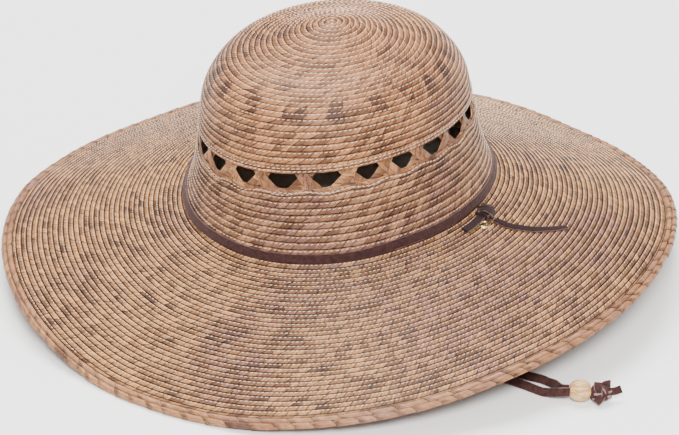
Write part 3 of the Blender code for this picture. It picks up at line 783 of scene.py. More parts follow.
def tube_faces(along, here, there, number, order=1):
    """Faces and weave map of a closed tube, from lengths along it and map values across each side."""
    corners = len(here)
    faces, weave = [], []
    for step in range(len(along) - 1):
        near, far = along[step], along[step + 1]
        low, high = step * corners, (step + 1) * corners
        for corner in range(corners):
            after = (corner + 1) % corners
            faces.append((low + corner, low + after, high + after, high + corner)[::order])
            weave += [(near, here[corner]), (near, there[corner]),
                      (far, there[corner]), (far, here[corner])][::order]
    for step, way in ((0, -order), (len(along) - 1, order)):
        faces.append(tuple(step * corners + corner for corner in range(corners))[::way])
        weave += [(along[step], number + 0.5)] * corners
    return faces, weave


def ribbon(route, facing, width, thickness, outline, number=0):
    """Points, faces and weave map of a flat strip along a route with its face turned as given."""
    route = np.array(route, float)
    ahead = np.gradient(route, axis=0)
    ahead /= np.linalg.norm(ahead, axis=1, keepdims=True)
    side = np.cross(np.array(facing, float) + 0 * route, ahead)
    side /= np.linalg.norm(side, axis=1, keepdims=True)
    up = np.cross(ahead, side)
    outline = np.array(outline, float)
    half_width = (np.zeros(len(route)) + width)[:, None, None] / 2
    half_thickness = (np.zeros(len(route)) + thickness)[:, None, None] / 2
    points = (route[:, None] + side[:, None] * outline[:, :1] * half_width
              + up[:, None] * outline[:, 1:] * half_thickness).reshape(-1, 3)
    across = number + 0.5 + 0.48 * outline[:, 0]
    return (points, *tube_faces(lengths_along(route), across, np.roll(across, -1), number))


def joined_piece(name, parts, surface, nodes=()):
    """Show several strips or shapes as one piece, which stands for the named solids."""
    points, faces, weave = [], [], []
    for part_points, part_faces, part_weave in parts:
        first = len(points)
        points += [tuple(point) for point in part_points]
        faces += [tuple(corner + first for corner in face) for face in part_faces]
        weave += part_weave
    mesh = bpy.data.meshes.new(name)
    mesh.from_pydata(points, [], faces)
    layer = mesh.uv_layers.new(name="weave")
    layer.data.foreach_set("uv", np.array(weave, float).ravel())
    mesh.shade_smooth()
    mesh.set_sharp_from_angle(angle=SHARP_ANGLE)
    return add_piece(name, mesh, surface, nodes)


fine_angles = np.linspace(0, 2 * math.pi, 721)
fine_form = hat_form(fine_angles)
fine_vents = travel_at(fine_form, vent_edge(fine_angles, 0))[None]
vent_line = on_hat(fine_form, fine_vents, 0 * fine_vents)[0][0]
vent_travelled = lengths_along(vent_line)
vent_pitch = vent_travelled[-1] / VENT_COUNT
first_vent = np.interp(VENT_FIRST_ANGLE % (2 * math.pi), fine_angles, vent_travelled)
vent_places = np.array([first_vent + (index + VENT_SHIFTS[index]) * vent_pitch
                        for index in range(VENT_COUNT)])


def vent_phase(angles):
    """Vent count at each angle, a whole number in the middle of a vent."""
    place = np.interp(angles % (2 * math.pi), fine_angles, vent_travelled)
    shifted = np.concatenate([vent_places - vent_travelled[-1], vent_places,
                              vent_places + vent_travelled[-1]])
    return np.interp(place, shifted, np.arange(len(shifted)))


def vent_route(sideways, upward, lift):
    """Places and ways out in the vent row, from lengths along it and up from its middle line."""
    angles = np.interp(np.array(sideways) % vent_travelled[-1], vent_travelled, fine_angles)
    form = hat_form(angles)
    travel = travel_at(form, vent_edge(angles, 0)) - upward
    places, outs, _ = on_hat(form, travel[None], np.array(lift)[None])
    return places[0], outs[0]


strip_dice = np.random.default_rng(21)
strips = []
next_places = np.append(vent_places[1:], vent_places[0] + vent_travelled[-1])
for index, middle in enumerate((vent_places + next_places) / 2):
    over = 1 if index % 3 else -1
    for lean in (1, -1):
        for lane in (-1, 1):
            angle = np.where(STRIP_STEPS < 0, STRIP_STEEP, STRIP_SHALLOW)
            angle = angle + strip_dice.uniform(-STRIP_WAVER, STRIP_WAVER)
            reach = np.where(STRIP_STEPS < 0, VENT_HEIGHT / 2 - STRIP_RISE + STRIP_CAUGHT_ABOVE,
                             VENT_HEIGHT / 2 + STRIP_RISE + STRIP_CAUGHT_BELOW) / np.sin(angle)
            offset = lane * STRIP_OFFSET
            sideways = lean * (np.cos(angle) * reach * STRIP_STEPS + offset * math.sin(LANE_ANGLE))
            upward = STRIP_RISE - np.sin(angle) * reach * STRIP_STEPS + offset * math.cos(LANE_ANGLE)
            level = STRIP_OVER if lean == over else STRIP_UNDER
            lift = (-STRIP_DEPTH + level * np.exp(-(STRIP_STEPS / CROSSING_REACH) ** 2)
                    + LANE_STEP * lane - END_DROP * np.abs(STRIP_STEPS) ** 4)
            places, outs = vent_route(middle + sideways, upward, lift)
            width = STRIP_WIDTH + strip_dice.uniform(-STRIP_UNEVEN, STRIP_UNEVEN)
            strips.append(ribbon(places, outs, width, STRIP_THICKNESS, STRIP_OUTLINE, len(strips)))
    for shift, height, width, lift in BASE_STRIPS:
        sideways = (shift + BASE_REACH * BASE_STEPS) * vent_pitch
        upward = height + (0.5 - shift) * BASE_SAG * np.cos(BASE_BEND * BASE_STEPS)
        places, outs = vent_route(middle + sideways, upward, lift + BASE_TILT * BASE_STEPS)
        strips.append(ribbon(places, outs, width, STRIP_THICKNESS, STRIP_OUTLINE, len(strips)))
# Painted highlight along the edges of each strip, and painted shade that darkens each strip a little
# towards one side.
strip_straw = palm_material("strip_straw", 0.48, {"Strand Length": 0.0085, "Slant": 0.3,
                                                  "Joint Width": 0.10}, {
    "Dark Share": 0.14, "Blush Share": 0.7,
    "Pale": (0.40, 0.185, 0.078), "Tan": (0.115, 0.045, 0.018), "Dark": (0.055, 0.022, 0.012),
    "Blush": (0.30, 0.14, 0.098)}, painted_lap_shade=-0.3, painted_row_shade=0.2)
joined_piece("vent_strips", strips, strip_straw, ("vent_row",))

# Crown wall
# The same braid goes on below the vents in turns down to the fold, where the brim starts.
# Its first turns dip a little under each vent, as the strips pull them.
WALL_ROWS = 11
BRIM_ROWS = 34
WALL_SECTORS = 448
EDGE_WIDTH = 0.0066
VENT_DIP = 0.0008
ROW_WIDENING = 0.07
# Middle of the bend between crown and brim, as a point of each line down the hat
FOLD_MIDDLE = len(crown_shares) + BEND_POINTS // 2
# Upper edge of the wall, turned in through it: distance past the first row, height
WALL_HEM = ((0.0010, -STRAW_WALL), (0.0001, -0.0012), (-0.0001, 0.0001))
WALL_SEAM = 0.0009
WALL_SEAM_LIFT = 0.0003


def lower_edges(form, angles, turns, rows):
    """Edges of the turns from the vents over the fold to the binding, as distances down the hat."""
    start = travel_at(form, vent_edge(angles, -1))
    fold = form[0][:, FOLD_MIDDLE]
    end = form[0][:, -1] - EDGE_WIDTH
    counts = np.clip(rows[:, None] + turns, 0, WALL_ROWS + BRIM_ROWS)
    down_wall = np.clip(counts / WALL_ROWS, 0, 1)
    down_brim = np.clip((counts - WALL_ROWS) / BRIM_ROWS, 0, 1)
    wider = down_brim * (1 - ROW_WIDENING + ROW_WIDENING * down_brim)
    edges = start + (fold - start) * down_wall + (end - fold) * wider
    dip = VENT_DIP * np.cos(2 * math.pi * vent_phase(angles)) * np.exp(-counts)
    return edges + dip + hand_wander(WALL_ROWS + BRIM_ROWS + 2, turns, ROW_WANDER, 5)[rows + 1]


wall_angles, wall_turns = whole_turn(WALL_SECTORS)
wall_form = hat_form(wall_angles)
wall_edges = lower_edges(wall_form, wall_angles, wall_turns, np.arange(-1, WALL_ROWS))
wall_travel, wall_lift, wall_across = lapped_lines(wall_edges, ROW_PROFILE, CROWN_PITCH)
hem_travel, hem_lift = np.array(WALL_HEM).T[..., None]
wall_travel = np.concatenate([hem_travel + wall_edges[0], wall_travel[1:]])
wall_lift = np.concatenate([hem_lift + 0 * wall_edges[0], wall_lift[1:]])
wall_across = np.concatenate([HEM_MAP, wall_across[1:]])
wall_places = on_hat(wall_form, wall_travel, wall_lift)[0]
# Painted shade in the grooves between rows and down each row, at the default amounts.
wall_straw = palm_material("wall_straw", 0.5, CROWN_STRANDS, {
    "Dark Share": 0.16, "Blush Share": 0.85,
    "Pale": (0.375, 0.182, 0.090), "Tan": (0.116, 0.049, 0.024), "Dark": (0.060, 0.022, 0.014),
    "Blush": (0.25, 0.117, 0.086)})
add_piece("wall_braid", sheet_mesh("wall_braid", wall_places, wall_across), wall_straw,
          ("crown_wall",))
inner_rows("wall_inner_rows", WALL_ROWS, INNER_SECTORS,
           lambda form, angles: travel_at(form, vent_edge(angles, -1)),
           lambda form, angles: form[0][:, FOLD_MIDDLE], shaded_inner_straw, 6)
wall_seams = row_lines(wall_form, wall_edges, CROWN_PITCH, STITCH_SHARE, STITCH_LIFT)
first_seam = wall_edges[:1] + WALL_SEAM
first_places, first_outs, _ = on_hat(wall_form, first_seam, WALL_SEAM_LIFT + 0 * first_seam)
wall_seams = list(zip(first_places, first_outs)) + wall_seams
add_stitches("wall_stitches", wall_seams, CROWN_STITCH_PITCH, CROWN_STITCH_LENGTH, 12)

# Brim
# The braid turns over the fold and goes on outwards to the rim in wide lapped rows.
# Near the crown's foot a brass eyelet is set through it on each side.
BRIM_SECTORS = 560
UNDERSIDE_SECTORS = 400
BRIM_PITCH = 0.0031
EYELET_DISTANCE = 0.0110
EYELET_ANGLES = {"right": math.radians(-8.8), "left": math.radians(172.0)}
EYELET_BORE = 0.0042
EYELET_METAL = 0.0004
EYELET_FLANGE = 0.0080
HOLE_MARGIN = 0.0008


def fold_point(angle):
    """Outer corner between crown and brim, where the brim's distances start."""
    return np.array([FOOT_HALF_WIDTH * math.cos(angle), FOOT_HALF_LENGTH * math.sin(angle),
                     FOLD_HEIGHT * float(round_hat(1, np.array([angle]))[0])])


def brim_point(distance, angle, lift=0.0):
    """Point on the brim's upper face at a distance out from the fold, raised square to it."""
    outward = np.array([FOOT_HALF_LENGTH * math.cos(angle), FOOT_HALF_WIDTH * math.sin(angle), 0])
    outward /= np.linalg.norm(outward)
    slope = float(brim_slopes(np.array([angle]))[0])
    along = outward * math.cos(slope) - np.array([0, 0, math.sin(slope)])
    square = outward * math.sin(slope) + np.array([0, 0, math.cos(slope)])
    return fold_point(angle) + along * distance + square * lift


def brim_place(distance, angle):
    """Frame on the brim: X out along its fall, Z square to its upper face."""
    origin = Vector(brim_point(distance, angle))
    out = (Vector(brim_point(distance + SEAM_HEIGHT, angle)) - origin).normalized()
    turn = 0.009
    round_way = (Vector(brim_point(distance, angle + turn))
                 - Vector(brim_point(distance, angle - turn))).normalized()
    up = out.cross(round_way).normalized()
    place = Matrix((out, up.cross(out), up)).transposed().to_4x4()
    place.translation = origin
    return place


def with_eyelet_holes(mesh):
    """The mesh with a round hole at each eyelet."""
    shape = bmesh.new()
    shape.from_mesh(mesh)
    for angle in EYELET_ANGLES.values():
        middle = Vector(brim_point(EYELET_DISTANCE, angle, -STRAW_WALL / 2))
        hit = [face for face in shape.faces
               if (face.calc_center_median() - middle).length < EYELET_BORE / 2 + HOLE_MARGIN]
        bmesh.ops.delete(shape, geom=hit, context="FACES")
    shape.to_mesh(mesh)
    shape.free()
    return mesh


brim_angles, brim_turns = whole_turn(BRIM_SECTORS)
brim_form = hat_form(brim_angles)
brim_edges = lower_edges(brim_form, brim_angles, brim_turns,
                         np.arange(WALL_ROWS - 1, WALL_ROWS + BRIM_ROWS + 1))
brim_travel, brim_lift, brim_across = lapped_lines(brim_edges, ROW_PROFILE, BRIM_PITCH)
brim_places = on_hat(brim_form, brim_travel, brim_lift)[0]
# Strong painted shade in the narrow grooves between rows, and a lighter painted shade down each row.
brim_straw = palm_material("brim_straw", 0.52, {"Strand Length": 0.0060, "Slant": 0.45,
                                                "Joint Width": 0.20}, {
    "Dark Share": 0.15, "Blush Share": 0.6, "Streaky": 0.8,
    "Pale": (0.412, 0.194, 0.074), "Tan": (0.116, 0.047, 0.018), "Dark": (0.040, 0.015, 0.010),
    "Blush": (0.27, 0.118, 0.084)}, painted_lap_shade=1.0, painted_row_shade=0.14, groove_start=0.765)
brim_mesh = with_eyelet_holes(sheet_mesh("brim_braid", brim_places, brim_across))
add_piece("brim_braid", brim_mesh, brim_straw, ("brim",))
under_angles, under_turns = whole_turn(UNDERSIDE_SECTORS)
under_form = hat_form(under_angles)
under_edges = lower_edges(under_form, under_angles, under_turns,
                          np.arange(WALL_ROWS - 1, WALL_ROWS + BRIM_ROWS + 1))
under_travel, under_lift, under_across = lapped_lines(under_edges, INNER_PROFILE, BRIM_PITCH)
under_places = on_hat(under_form, under_travel, -STRAW_WALL - under_lift)[0]
under_mesh = sheet_mesh("brim_underside", under_places, under_across, outside=False)
add_piece("brim_underside", with_eyelet_holes(under_mesh), brim_straw)

# Brim stitches
# The same cream thread along every row of the brim, on top and underneath.
# Underneath, the lower thread lies near the outer edge of each row.
BRIM_STITCH_PITCH = 0.0027
BRIM_STITCH_LENGTH = 0.0019
UNDER_STITCH_SHARE = 0.78
UNDER_STITCH_LIFT = 0.00016
brim_seams = row_lines(brim_form, brim_edges, BRIM_PITCH, STITCH_SHARE, STITCH_LIFT)
add_stitches("brim_stitches", brim_seams, BRIM_STITCH_PITCH, BRIM_STITCH_LENGTH, 13)
under_seams = [(places, -outs) for places, outs in
               row_lines(under_form, under_edges, BRIM_PITCH, UNDER_STITCH_SHARE,
                         -STRAW_WALL - UNDER_STITCH_LIFT)]
add_stitches("underside_stitches", under_seams, BRIM_STITCH_PITCH, BRIM_STITCH_LENGTH, 14)

# Rim binding
# Two rows of wider folded palm strip close the edge of the brim, the outer one wrapped round it.
# The strips are short lengths laid end over end, so slanted joints show all along the rim.
BINDING_WIDTH = 0.0034
BINDING_SLANT = 1.1
BINDING_OVERLAP = 0.0012
BINDING_STEP = 0.0022
BINDING_UNEVEN = (-0.0002, 0.0003)
# How much a strip stands up at its first end, and how little at its last, under the next strip
BINDING_RISE = (0.00020, -0.00006)
BINDING_DEPTH = 0.0012
# Section of each row: share of its width out from its inner side, height off the brim's upper face
INNER_BINDING = ((0.0, -0.0007), (0.08, 0.0006), (0.3, 0.0009), (0.68, 0.0008), (0.88, 0.0004),
                 (1.0, -0.0008), (0.9, -0.0018), (0.5, -0.0024), (0.0, -0.0020))
OUTER_BINDING = ((0.0, -0.0008), (0.11, 0.0007), (0.40, 0.0010), (0.78, 0.0003), (1.0, -0.0009),
                 (0.78, -0.0020), (0.4, -0.0026), (0.0, -0.0022))


def binding_parts(section, start, lengths, seed):
    """Short folded strips laid end over end round the rim, each a closed solid with slanted ends."""
    dice = np.random.default_rng(seed)
    joints = []
    place = 0.0
    rim = on_hat(brim_form, brim_form[0][:, -1:].T, 0 * brim_form[0][:, -1:].T)[0][0]
    travelled = lengths_along(rim)
    while place < travelled[-1] - lengths[0]:
        joints.append(place)
        place += dice.uniform(*lengths)
    joints.append(travelled[-1])
    section = np.array(section)
    parts = []
    for number in range(len(joints) - 1):
        first, last = joints[number], joints[number + 1] + BINDING_OVERLAP
        count = max(5, round((last - first) / BINDING_STEP))
        along = np.linspace(first, last, count)
        slant = BINDING_SLANT * section[:, 0] * BINDING_WIDTH
        placed = (along[:, None] + slant).ravel() % travelled[-1]
        turns = np.interp(placed, travelled, brim_turns)
        angles = SPIRAL_START + 2 * math.pi * turns
        form = hat_form(angles)
        bulk = dice.uniform(*BINDING_UNEVEN)
        rise = np.repeat(np.linspace(*BINDING_RISE, count), len(section))
        share = np.tile(section[:, 0], count)
        height = np.tile(section[:, 1], count)
        middle = -STRAW_WALL / 2
        lift = middle + (height - middle) * (1 + rise / BINDING_DEPTH)
        travel = form[0][:, -1] - EDGE_WIDTH + start + share * (BINDING_WIDTH + bulk + rise)
        points = on_hat(form, travel[None], lift[None])[0][0]
        sides = np.arange(len(section) + 1)
        across = number + 0.02 + 0.96 * sides / len(section)
        parts.append((points, *tube_faces(along - first, across[:-1], across[1:], number, order=-1)))
    return parts


binding_straw = palm_material("binding_straw", 0.4, {"Strand Length": 0.05, "Slant": 0.0,
                                                     "Joint Width": 0.014, "Row Offset": 0.0,
                                                     "Drift": 0.0}, {
    "Dark Share": 0.08, "Blush Share": 0.9,
    "Pale": (0.35, 0.170, 0.080), "Tan": (0.20, 0.088, 0.042), "Dark": (0.075, 0.032, 0.022),
    "Blush": (0.25, 0.120, 0.082)}, painted_lap_shade=0.0, painted_row_shade=0.0, joint=0.25)
outer_parts = binding_parts(OUTER_BINDING, EDGE_WIDTH - BINDING_WIDTH, (0.0070, 0.0150), 31)
joined_piece("rim_binding", outer_parts, binding_straw, ("brim_edge",))
inner_parts = binding_parts(INNER_BINDING, 0.0, (0.012, 0.018), 32)
joined_piece("inner_binding", inner_parts, binding_straw)

# Eyelets
# Small brass eyelets through the brim beside the crown, one on each side.
# Each is a pressed flange on top and a rolled edge underneath, and the chin strap passes through.
EYELET_PROFILE = (
    (EYELET_BORE / 2, -0.0011), (EYELET_BORE / 2 + 0.0001, 0.0003), (EYELET_BORE / 2 + 0.0004, 0.0008),
    (EYELET_BORE / 2 + 0.0009, 0.00095), (EYELET_FLANGE / 2 - 0.0004, 0.0007),
    (EYELET_FLANGE / 2, 0.0004), (EYELET_FLANGE / 2, 0.00025), (EYELET_BORE / 2 + 0.0005, 0.00035),
    (EYELET_BORE / 2 + 0.0005, -0.0020), (EYELET_FLANGE / 2 - 0.0009, -0.0021),
    (EYELET_FLANGE / 2 - 0.0007, -0.0024), (EYELET_BORE / 2 + 0.0006, -0.0027),
    (EYELET_BORE / 2 + 0.0001, -0.0024),
)


def turned_part(profile, sides, place, number=0):
    """A closed profile of radius and height pairs turned round Z, then set at a place."""
    turns = np.linspace(0, 2 * math.pi, sides, endpoint=False)
    points = [place @ Vector((radius * math.cos(turn), radius * math.sin(turn), height))
              for radius, height in profile for turn in turns]
    faces, weave = [], []
    for ring in range(len(profile)):
        after_ring = (ring + 1) % len(profile)
        for side in range(sides):
            after = (side + 1) % sides
            faces.append((ring * sides + side, after_ring * sides + side,
                          after_ring * sides + after, ring * sides + after))
            share, share_after = side / sides, (side + 1) / sides
            low, high = number + ring / len(profile), number + (ring + 1) / len(profile)
            weave += [(share, low), (share, high), (share_after, high), (share_after, low)]
    return points, faces, weave


def make_brass_material():
    """Worn brass: bright, with duller patches."""
    surface, tree, sockets = start_material("worn_brass", 0.3, metallic=1.0)
    dull = noise(spot(tree), 900.0, 3.0)[0].ramp(0.35, 0.7)
    feed(tree, sockets["Base Color"], mix(dull, (0.83, 0.64, 0.33), (0.50, 0.35, 0.16)))
    feed(tree, sockets["Roughness"], 0.22 + dull * 0.25)
    return surface


worn_brass = make_brass_material()
for side, angle in EYELET_ANGLES.items():
    part = turned_part(EYELET_PROFILE, 40, brim_place(EYELET_DISTANCE, angle))
    joined_piece("eyelet_ring_" + side, [part], worn_brass, ("eyelet_" + side,))

# Hat band
# A flat dark suede lace that goes round the foot of the crown and is knotted on the right side.
# It is pulled tight, so it lies against the straw, and its cut edges are a little rough.
LACE_WIDTH = 0.0052
LACE_THICKNESS = 0.0016
BAND_LIFT = 0.0019
BAND_GAP = 0.0003
# Unevenness of the band up and down round the hat: size, waves, turn
BAND_WANDER = ((0.0003, 5, 1.0), (0.0002, 11, 0.0))
BAND_SWELL = 0.0002
KNOT_ANGLES = {"right": math.radians(-5.6), "left": math.radians(170.4)}
KNOT_SIZE = (0.0128, 0.0102, 0.0062)
LACE_OUTLINE = ((-1, -0.3), (-0.93, -0.8), (-0.8, -1), (-0.3, -0.93), (0.3, -0.93), (0.8, -1),
                (0.93, -0.8), (1, -0.3), (1, 0.3), (0.93, 0.8), (0.8, 1), (0.3, 0.93),
                (-0.3, 0.93), (-0.8, 1), (-0.93, 0.8), (-1, 0.3))


def make_suede_group():
    """Nap of suede: a soft mottled shade, and a fine fuzzy relief."""
    group, given = start_group("suede_nap", Mottle_Scale=420.0, Fuzz_Scale=1700.0)
    place = spot(group)
    mottle = noise(place, given["Mottle Scale"], 3.0)[0]
    fuzz = noise(place, given["Fuzz Scale"], 3.0, Roughness=0.7)[0]
    return end_group(group, Mottle=mottle.ramp(0.25, 0.75), Fuzz=fuzz)


suede_group = make_suede_group()


def suede_material(name, deep, worn, cut_edge):
    """Dark suede that is paler where it is rubbed and along its cut edges."""
    surface, tree, sockets = start_material(name, 0.88, specular=0.2)
    sockets["Sheen Weight"].default_value = 0.12
    sockets["Sheen Roughness"].default_value = 0.5
    sockets["Sheen Tint"].default_value = (0.75, 0.55, 0.5, 1.0)
    nap = use_group(tree, suede_group)
    rubbed = (nap["Mottle"] * 0.6).by("ADD", nap["Fuzz"].ramp(0.35, 0.65) * 0.5, clamp=True)
    off = (weave_map(tree)[1].by("FRACT") - 0.5).by("ABSOLUTE")
    edge = (off + nap["Mottle"] * 0.03).ramp(0.455, 0.485)
    colour = mix(edge * cut_edge, mix(rubbed, deep, worn), (0.42, 0.29, 0.25))
    feed(tree, sockets["Base Color"], colour)
    add_relief(tree, sockets, nap["Fuzz"], 0.8, 0.0005)
    return surface


band_suede = suede_material("band_suede", (0.008, 0.0026, 0.0028), (0.046, 0.0155, 0.0145), 0.15)
band_angles = np.linspace(0, 2 * math.pi, 361)[:-1]
band_form = hat_form(band_angles)
middle_share = (BAND_LIFT + LACE_WIDTH / 2) / CROWN_HEIGHT
band_rise = sum(size * np.sin(waves * band_angles + turn) for size, waves, turn in BAND_WANDER)
band_travel = travel_at(band_form, middle_share + 0 * band_angles) + band_rise
band_lift = BAND_GAP + LACE_THICKNESS / 2 + BAND_SWELL * np.sin(7 * band_angles + 2.0) ** 2
band_places, band_outs, _ = on_hat(band_form, band_travel[None], band_lift[None])
band_route = np.concatenate([band_places[0], band_places[0][:1]])
band_facing = np.concatenate([band_outs[0], band_outs[0][:1]])
band_part = ribbon(band_route, band_facing, LACE_WIDTH, LACE_THICKNESS, LACE_OUTLINE)
joined_piece("band_lace", [band_part], band_suede, ("hat_band",))

# Band knot and short end
# The band's two ends cross and pass round each other once over the right eyelet.
# One short end lies forward along the straw over the eyelet.
# Route of the short end from inside the knot: degrees round the hat, share of the brim's width
SHORT_TAIL_ROUTE = ((-6.4, 0.062), (-9.0, 0.064), (-12.8, 0.067), (-16.6, 0.064))
SHORT_TAIL_STEPS = 15
KNOT_LIFT = 0.001
KNOT_LACE_WIDTH = 0.0044
KNOT_STEPS = 33
knot_suede = suede_material("knot_suede", (0.006, 0.0022, 0.0024), (0.018, 0.0064, 0.0062), 0.25)


def foot_lean():
    """How far the crown's foot leans in for each metre of height."""
    fall = (1 - CROWN_SECTION[1][0]) * FOOT_HALF_WIDTH
    return fall / (CROWN_SECTION[1][1] * CROWN_HEIGHT)


def knot_place(side):
    """Frame in the middle of the knot beside the crown's foot, X out and Z off the brim."""
    angle = KNOT_ANGLES[side]
    lean = foot_lean() + math.tan(float(brim_slopes(np.array([angle]))[0]))
    distance = 2 * BAND_GAP + LACE_THICKNESS + KNOT_SIZE[0] / 2 - lean * BAND_LIFT
    return brim_place(distance, angle) @ Matrix.Translation((0, 0, KNOT_LIFT + KNOT_SIZE[2] / 2))


# Turns of lace in a knot: half length out, half width along, half height, lean, yaw, shift along
KNOT_TURNS = (
    (0.0048, 0.0010, 0.0031, 0.10, 0.35, -0.0014),
    (0.0044, 0.0012, 0.0034, -0.25, -0.30, 0.0016),
    (0.0036, 0.0016, 0.0026, 0.55, 0.9, 0.0002),
)
# Lace that passes through the middle of a knot: height, half length, yaw
KNOT_LAYERS = (
    (-0.0018, 0.0040, 0.20),
    (0.0000, 0.0047, -0.15),
    (0.0017, 0.0036, 0.30),
)
LAYER_THICKNESS = 0.0021


def knot_parts(place, turns, width):
    """Turns of lace round each other, drawn tight into one knot."""
    parts = []
    for out, along, high, lean, yaw, shift in turns:
        steps = np.linspace(0, 2 * math.pi, KNOT_STEPS)
        route, facing = [], []
        turn = Matrix.Rotation(yaw, 4, "Z") @ Matrix.Rotation(lean, 4, "X")
        for step in steps:
            point = Vector((out * math.cos(step), along * math.sin(step / 2) * 2 - along + shift,
                            high * math.sin(step)))
            normal = Vector((math.cos(step) / out, 0, math.sin(step) / high)).normalized()
            route.append(place @ (turn @ point))
            facing.append(place.to_3x3() @ (turn.to_3x3() @ normal))
        parts.append(ribbon(route, facing, width, LACE_THICKNESS * 0.85, LACE_OUTLINE))
    for height, reach, yaw in KNOT_LAYERS:
        turn = Matrix.Rotation(yaw, 4, "Z")
        route = [place @ (turn @ Vector((0.0004 * math.cos(5 * share), reach * share, height)))
                 for share in np.linspace(-1, 1, 9)]
        parts.append(ribbon(route, place.col[2].to_3d(), 1.6 * turns[0][0], LAYER_THICKNESS,
                            LACE_OUTLINE))
    return parts


def brim_lace(route, steps, width, lift):
    """Flat lace that lies on the brim along a route of angles and shares of the brim's width."""
    places = smooth_curve(route, steps)
    middle = [brim_point(share * BRIM_WIDTH, math.radians(degrees), height)
              for (degrees, share), height in zip(places, lift)]
    facing = [brim_place(share * BRIM_WIDTH, math.radians(degrees)).col[2].to_3d()
              for degrees, share in places]
    return ribbon(middle, facing, width, LACE_THICKNESS * 0.9, LACE_OUTLINE)


short_lift = np.linspace(0.0034, 0.0019, SHORT_TAIL_STEPS)
short_end = brim_lace(SHORT_TAIL_ROUTE, SHORT_TAIL_STEPS, LACE_WIDTH * 0.95, short_lift)
right_knot = knot_parts(knot_place("right"), KNOT_TURNS, KNOT_LACE_WIDTH)
joined_piece("knot_lace_right", right_knot + [short_end], knot_suede,
             ("band_knot", "band_tail_short"))

# Stop knot
# On the left the chin strap comes up through its eyelet and ends in a plain knot of the same lace.
# The knot is wider than the eyelet, so it holds the strap there.
left_knot = knot_parts(knot_place("left"), KNOT_TURNS, KNOT_LACE_WIDTH)
joined_piece("knot_lace_left", left_knot, knot_suede, ("stop_knot",))

# Long tail of the band
# The band's other end, the same flat suede lace, which lies out over the brim from the knot.
# It is twisted a little on its way and gets narrower towards its cut end.
# Route: degrees round the hat, share of the brim's width
LONG_TAIL_ROUTE = (
    (-5.3, 0.128),
    (-5.8, 0.162),
    (-5.5, 0.205),
    (-4.6, 0.250),
    (-3.1, 0.310),
    (-0.5, 0.378),
    (3.5, 0.461),
)
TAIL_STEPS = 40
TAIL_TWIST = math.radians(20)
TAIL_GAP = 0.0004
# Share of the lace's width that the tail starts with, and what it loses by its end
TAIL_WIDTHS = (0.74, 0.26)
tail_places = smooth_curve(LONG_TAIL_ROUTE, TAIL_STEPS)
tail_share = np.linspace(0, 1, TAIL_STEPS)
tail_tilt = TAIL_TWIST * (1 - 0.35 * tail_share) * np.sin(np.pi * (0.28 + 0.55 * tail_share))
tail_width = LACE_WIDTH * (TAIL_WIDTHS[0] - TAIL_WIDTHS[1] * tail_share**2)
tail_route, tail_facing = [], []
for (degrees, share), tilt, width in zip(tail_places, tail_tilt, tail_width):
    angle = math.radians(degrees)
    up = brim_place(share * BRIM_WIDTH, angle)
    height = TAIL_GAP + 0.5 * width * math.sin(tilt) + 0.5 * LACE_THICKNESS * math.cos(tilt)
    tail_route.append(brim_point(share * BRIM_WIDTH, angle, height))
    tail_facing.append(up.to_3x3() @ Vector((0, -math.sin(tilt), math.cos(tilt))))
tail_part = ribbon(tail_route, tail_facing, tail_width, LACE_THICKNESS, LACE_OUTLINE)
tail_lace = joined_piece("tail_lace", [tail_part], knot_suede, ("band_tail_long",))


# Cord bead
# A pale turned wooden bead with a wide bore, which slides on both runs of the chin strap.
# Its faces are flat round the bore, and it is left unvarnished.
BEAD_DIAMETER = 0.0124
BEAD_LENGTH = 0.0136
BEAD_BORE = 0.0064
BEAD_CENTRE = (0.1932, -0.1001)
BEAD_TURN = math.radians(25)
BEAD_SIDES = 48
bead_radius = BEAD_DIAMETER / 2
face_half = BEAD_LENGTH / 2 * math.sqrt(1 - (BEAD_BORE / BEAD_DIAMETER) ** 2)
bore_mouth = [(BEAD_BORE / 2 - 0.0002, face_half - 0.0012), (BEAD_BORE / 2 + 0.0002, face_half - 0.0003)]
bead_profile = [(BEAD_BORE / 2 - 0.0003, 0.0)] + bore_mouth
for height in (face_half - 0.0001) * (1 - 2 * np.arange(15) / 14):
    bead_profile.append((bead_radius * math.sqrt(1 - (height / (BEAD_LENGTH / 2)) ** 2), height))
bead_profile += [(radius, -height) for radius, height in bore_mouth[::-1]]
bead_place = (Matrix.Translation((*BEAD_CENTRE, bead_radius)) @ Matrix.Rotation(BEAD_TURN, 4, "Z")
              @ Matrix.Rotation(math.radians(90), 4, "Y"))


def make_bead_material():
    """Pale turned wood, its grain running along the bore."""
    surface, tree, sockets = start_material("bead_grain", 0.45, specular=0.4)
    round_way, along = weave_map(tree)
    grain = flat_noise(round_way * 26.0, along * 2.2, 4.0, Distortion=0.5)[0]
    colour = mix(grain.ramp(0.42, 0.62), (0.64, 0.40, 0.175), (0.40, 0.215, 0.080))
    feed(tree, sockets["Base Color"], colour)
    add_relief(tree, sockets, grain, 0.4, 0.0001)
    return surface


bead_part = turned_part(bead_profile[::-1], BEAD_SIDES, bead_place)
bead = joined_piece("wooden_bead", [bead_part], make_bead_material(), ("cord_bead",))

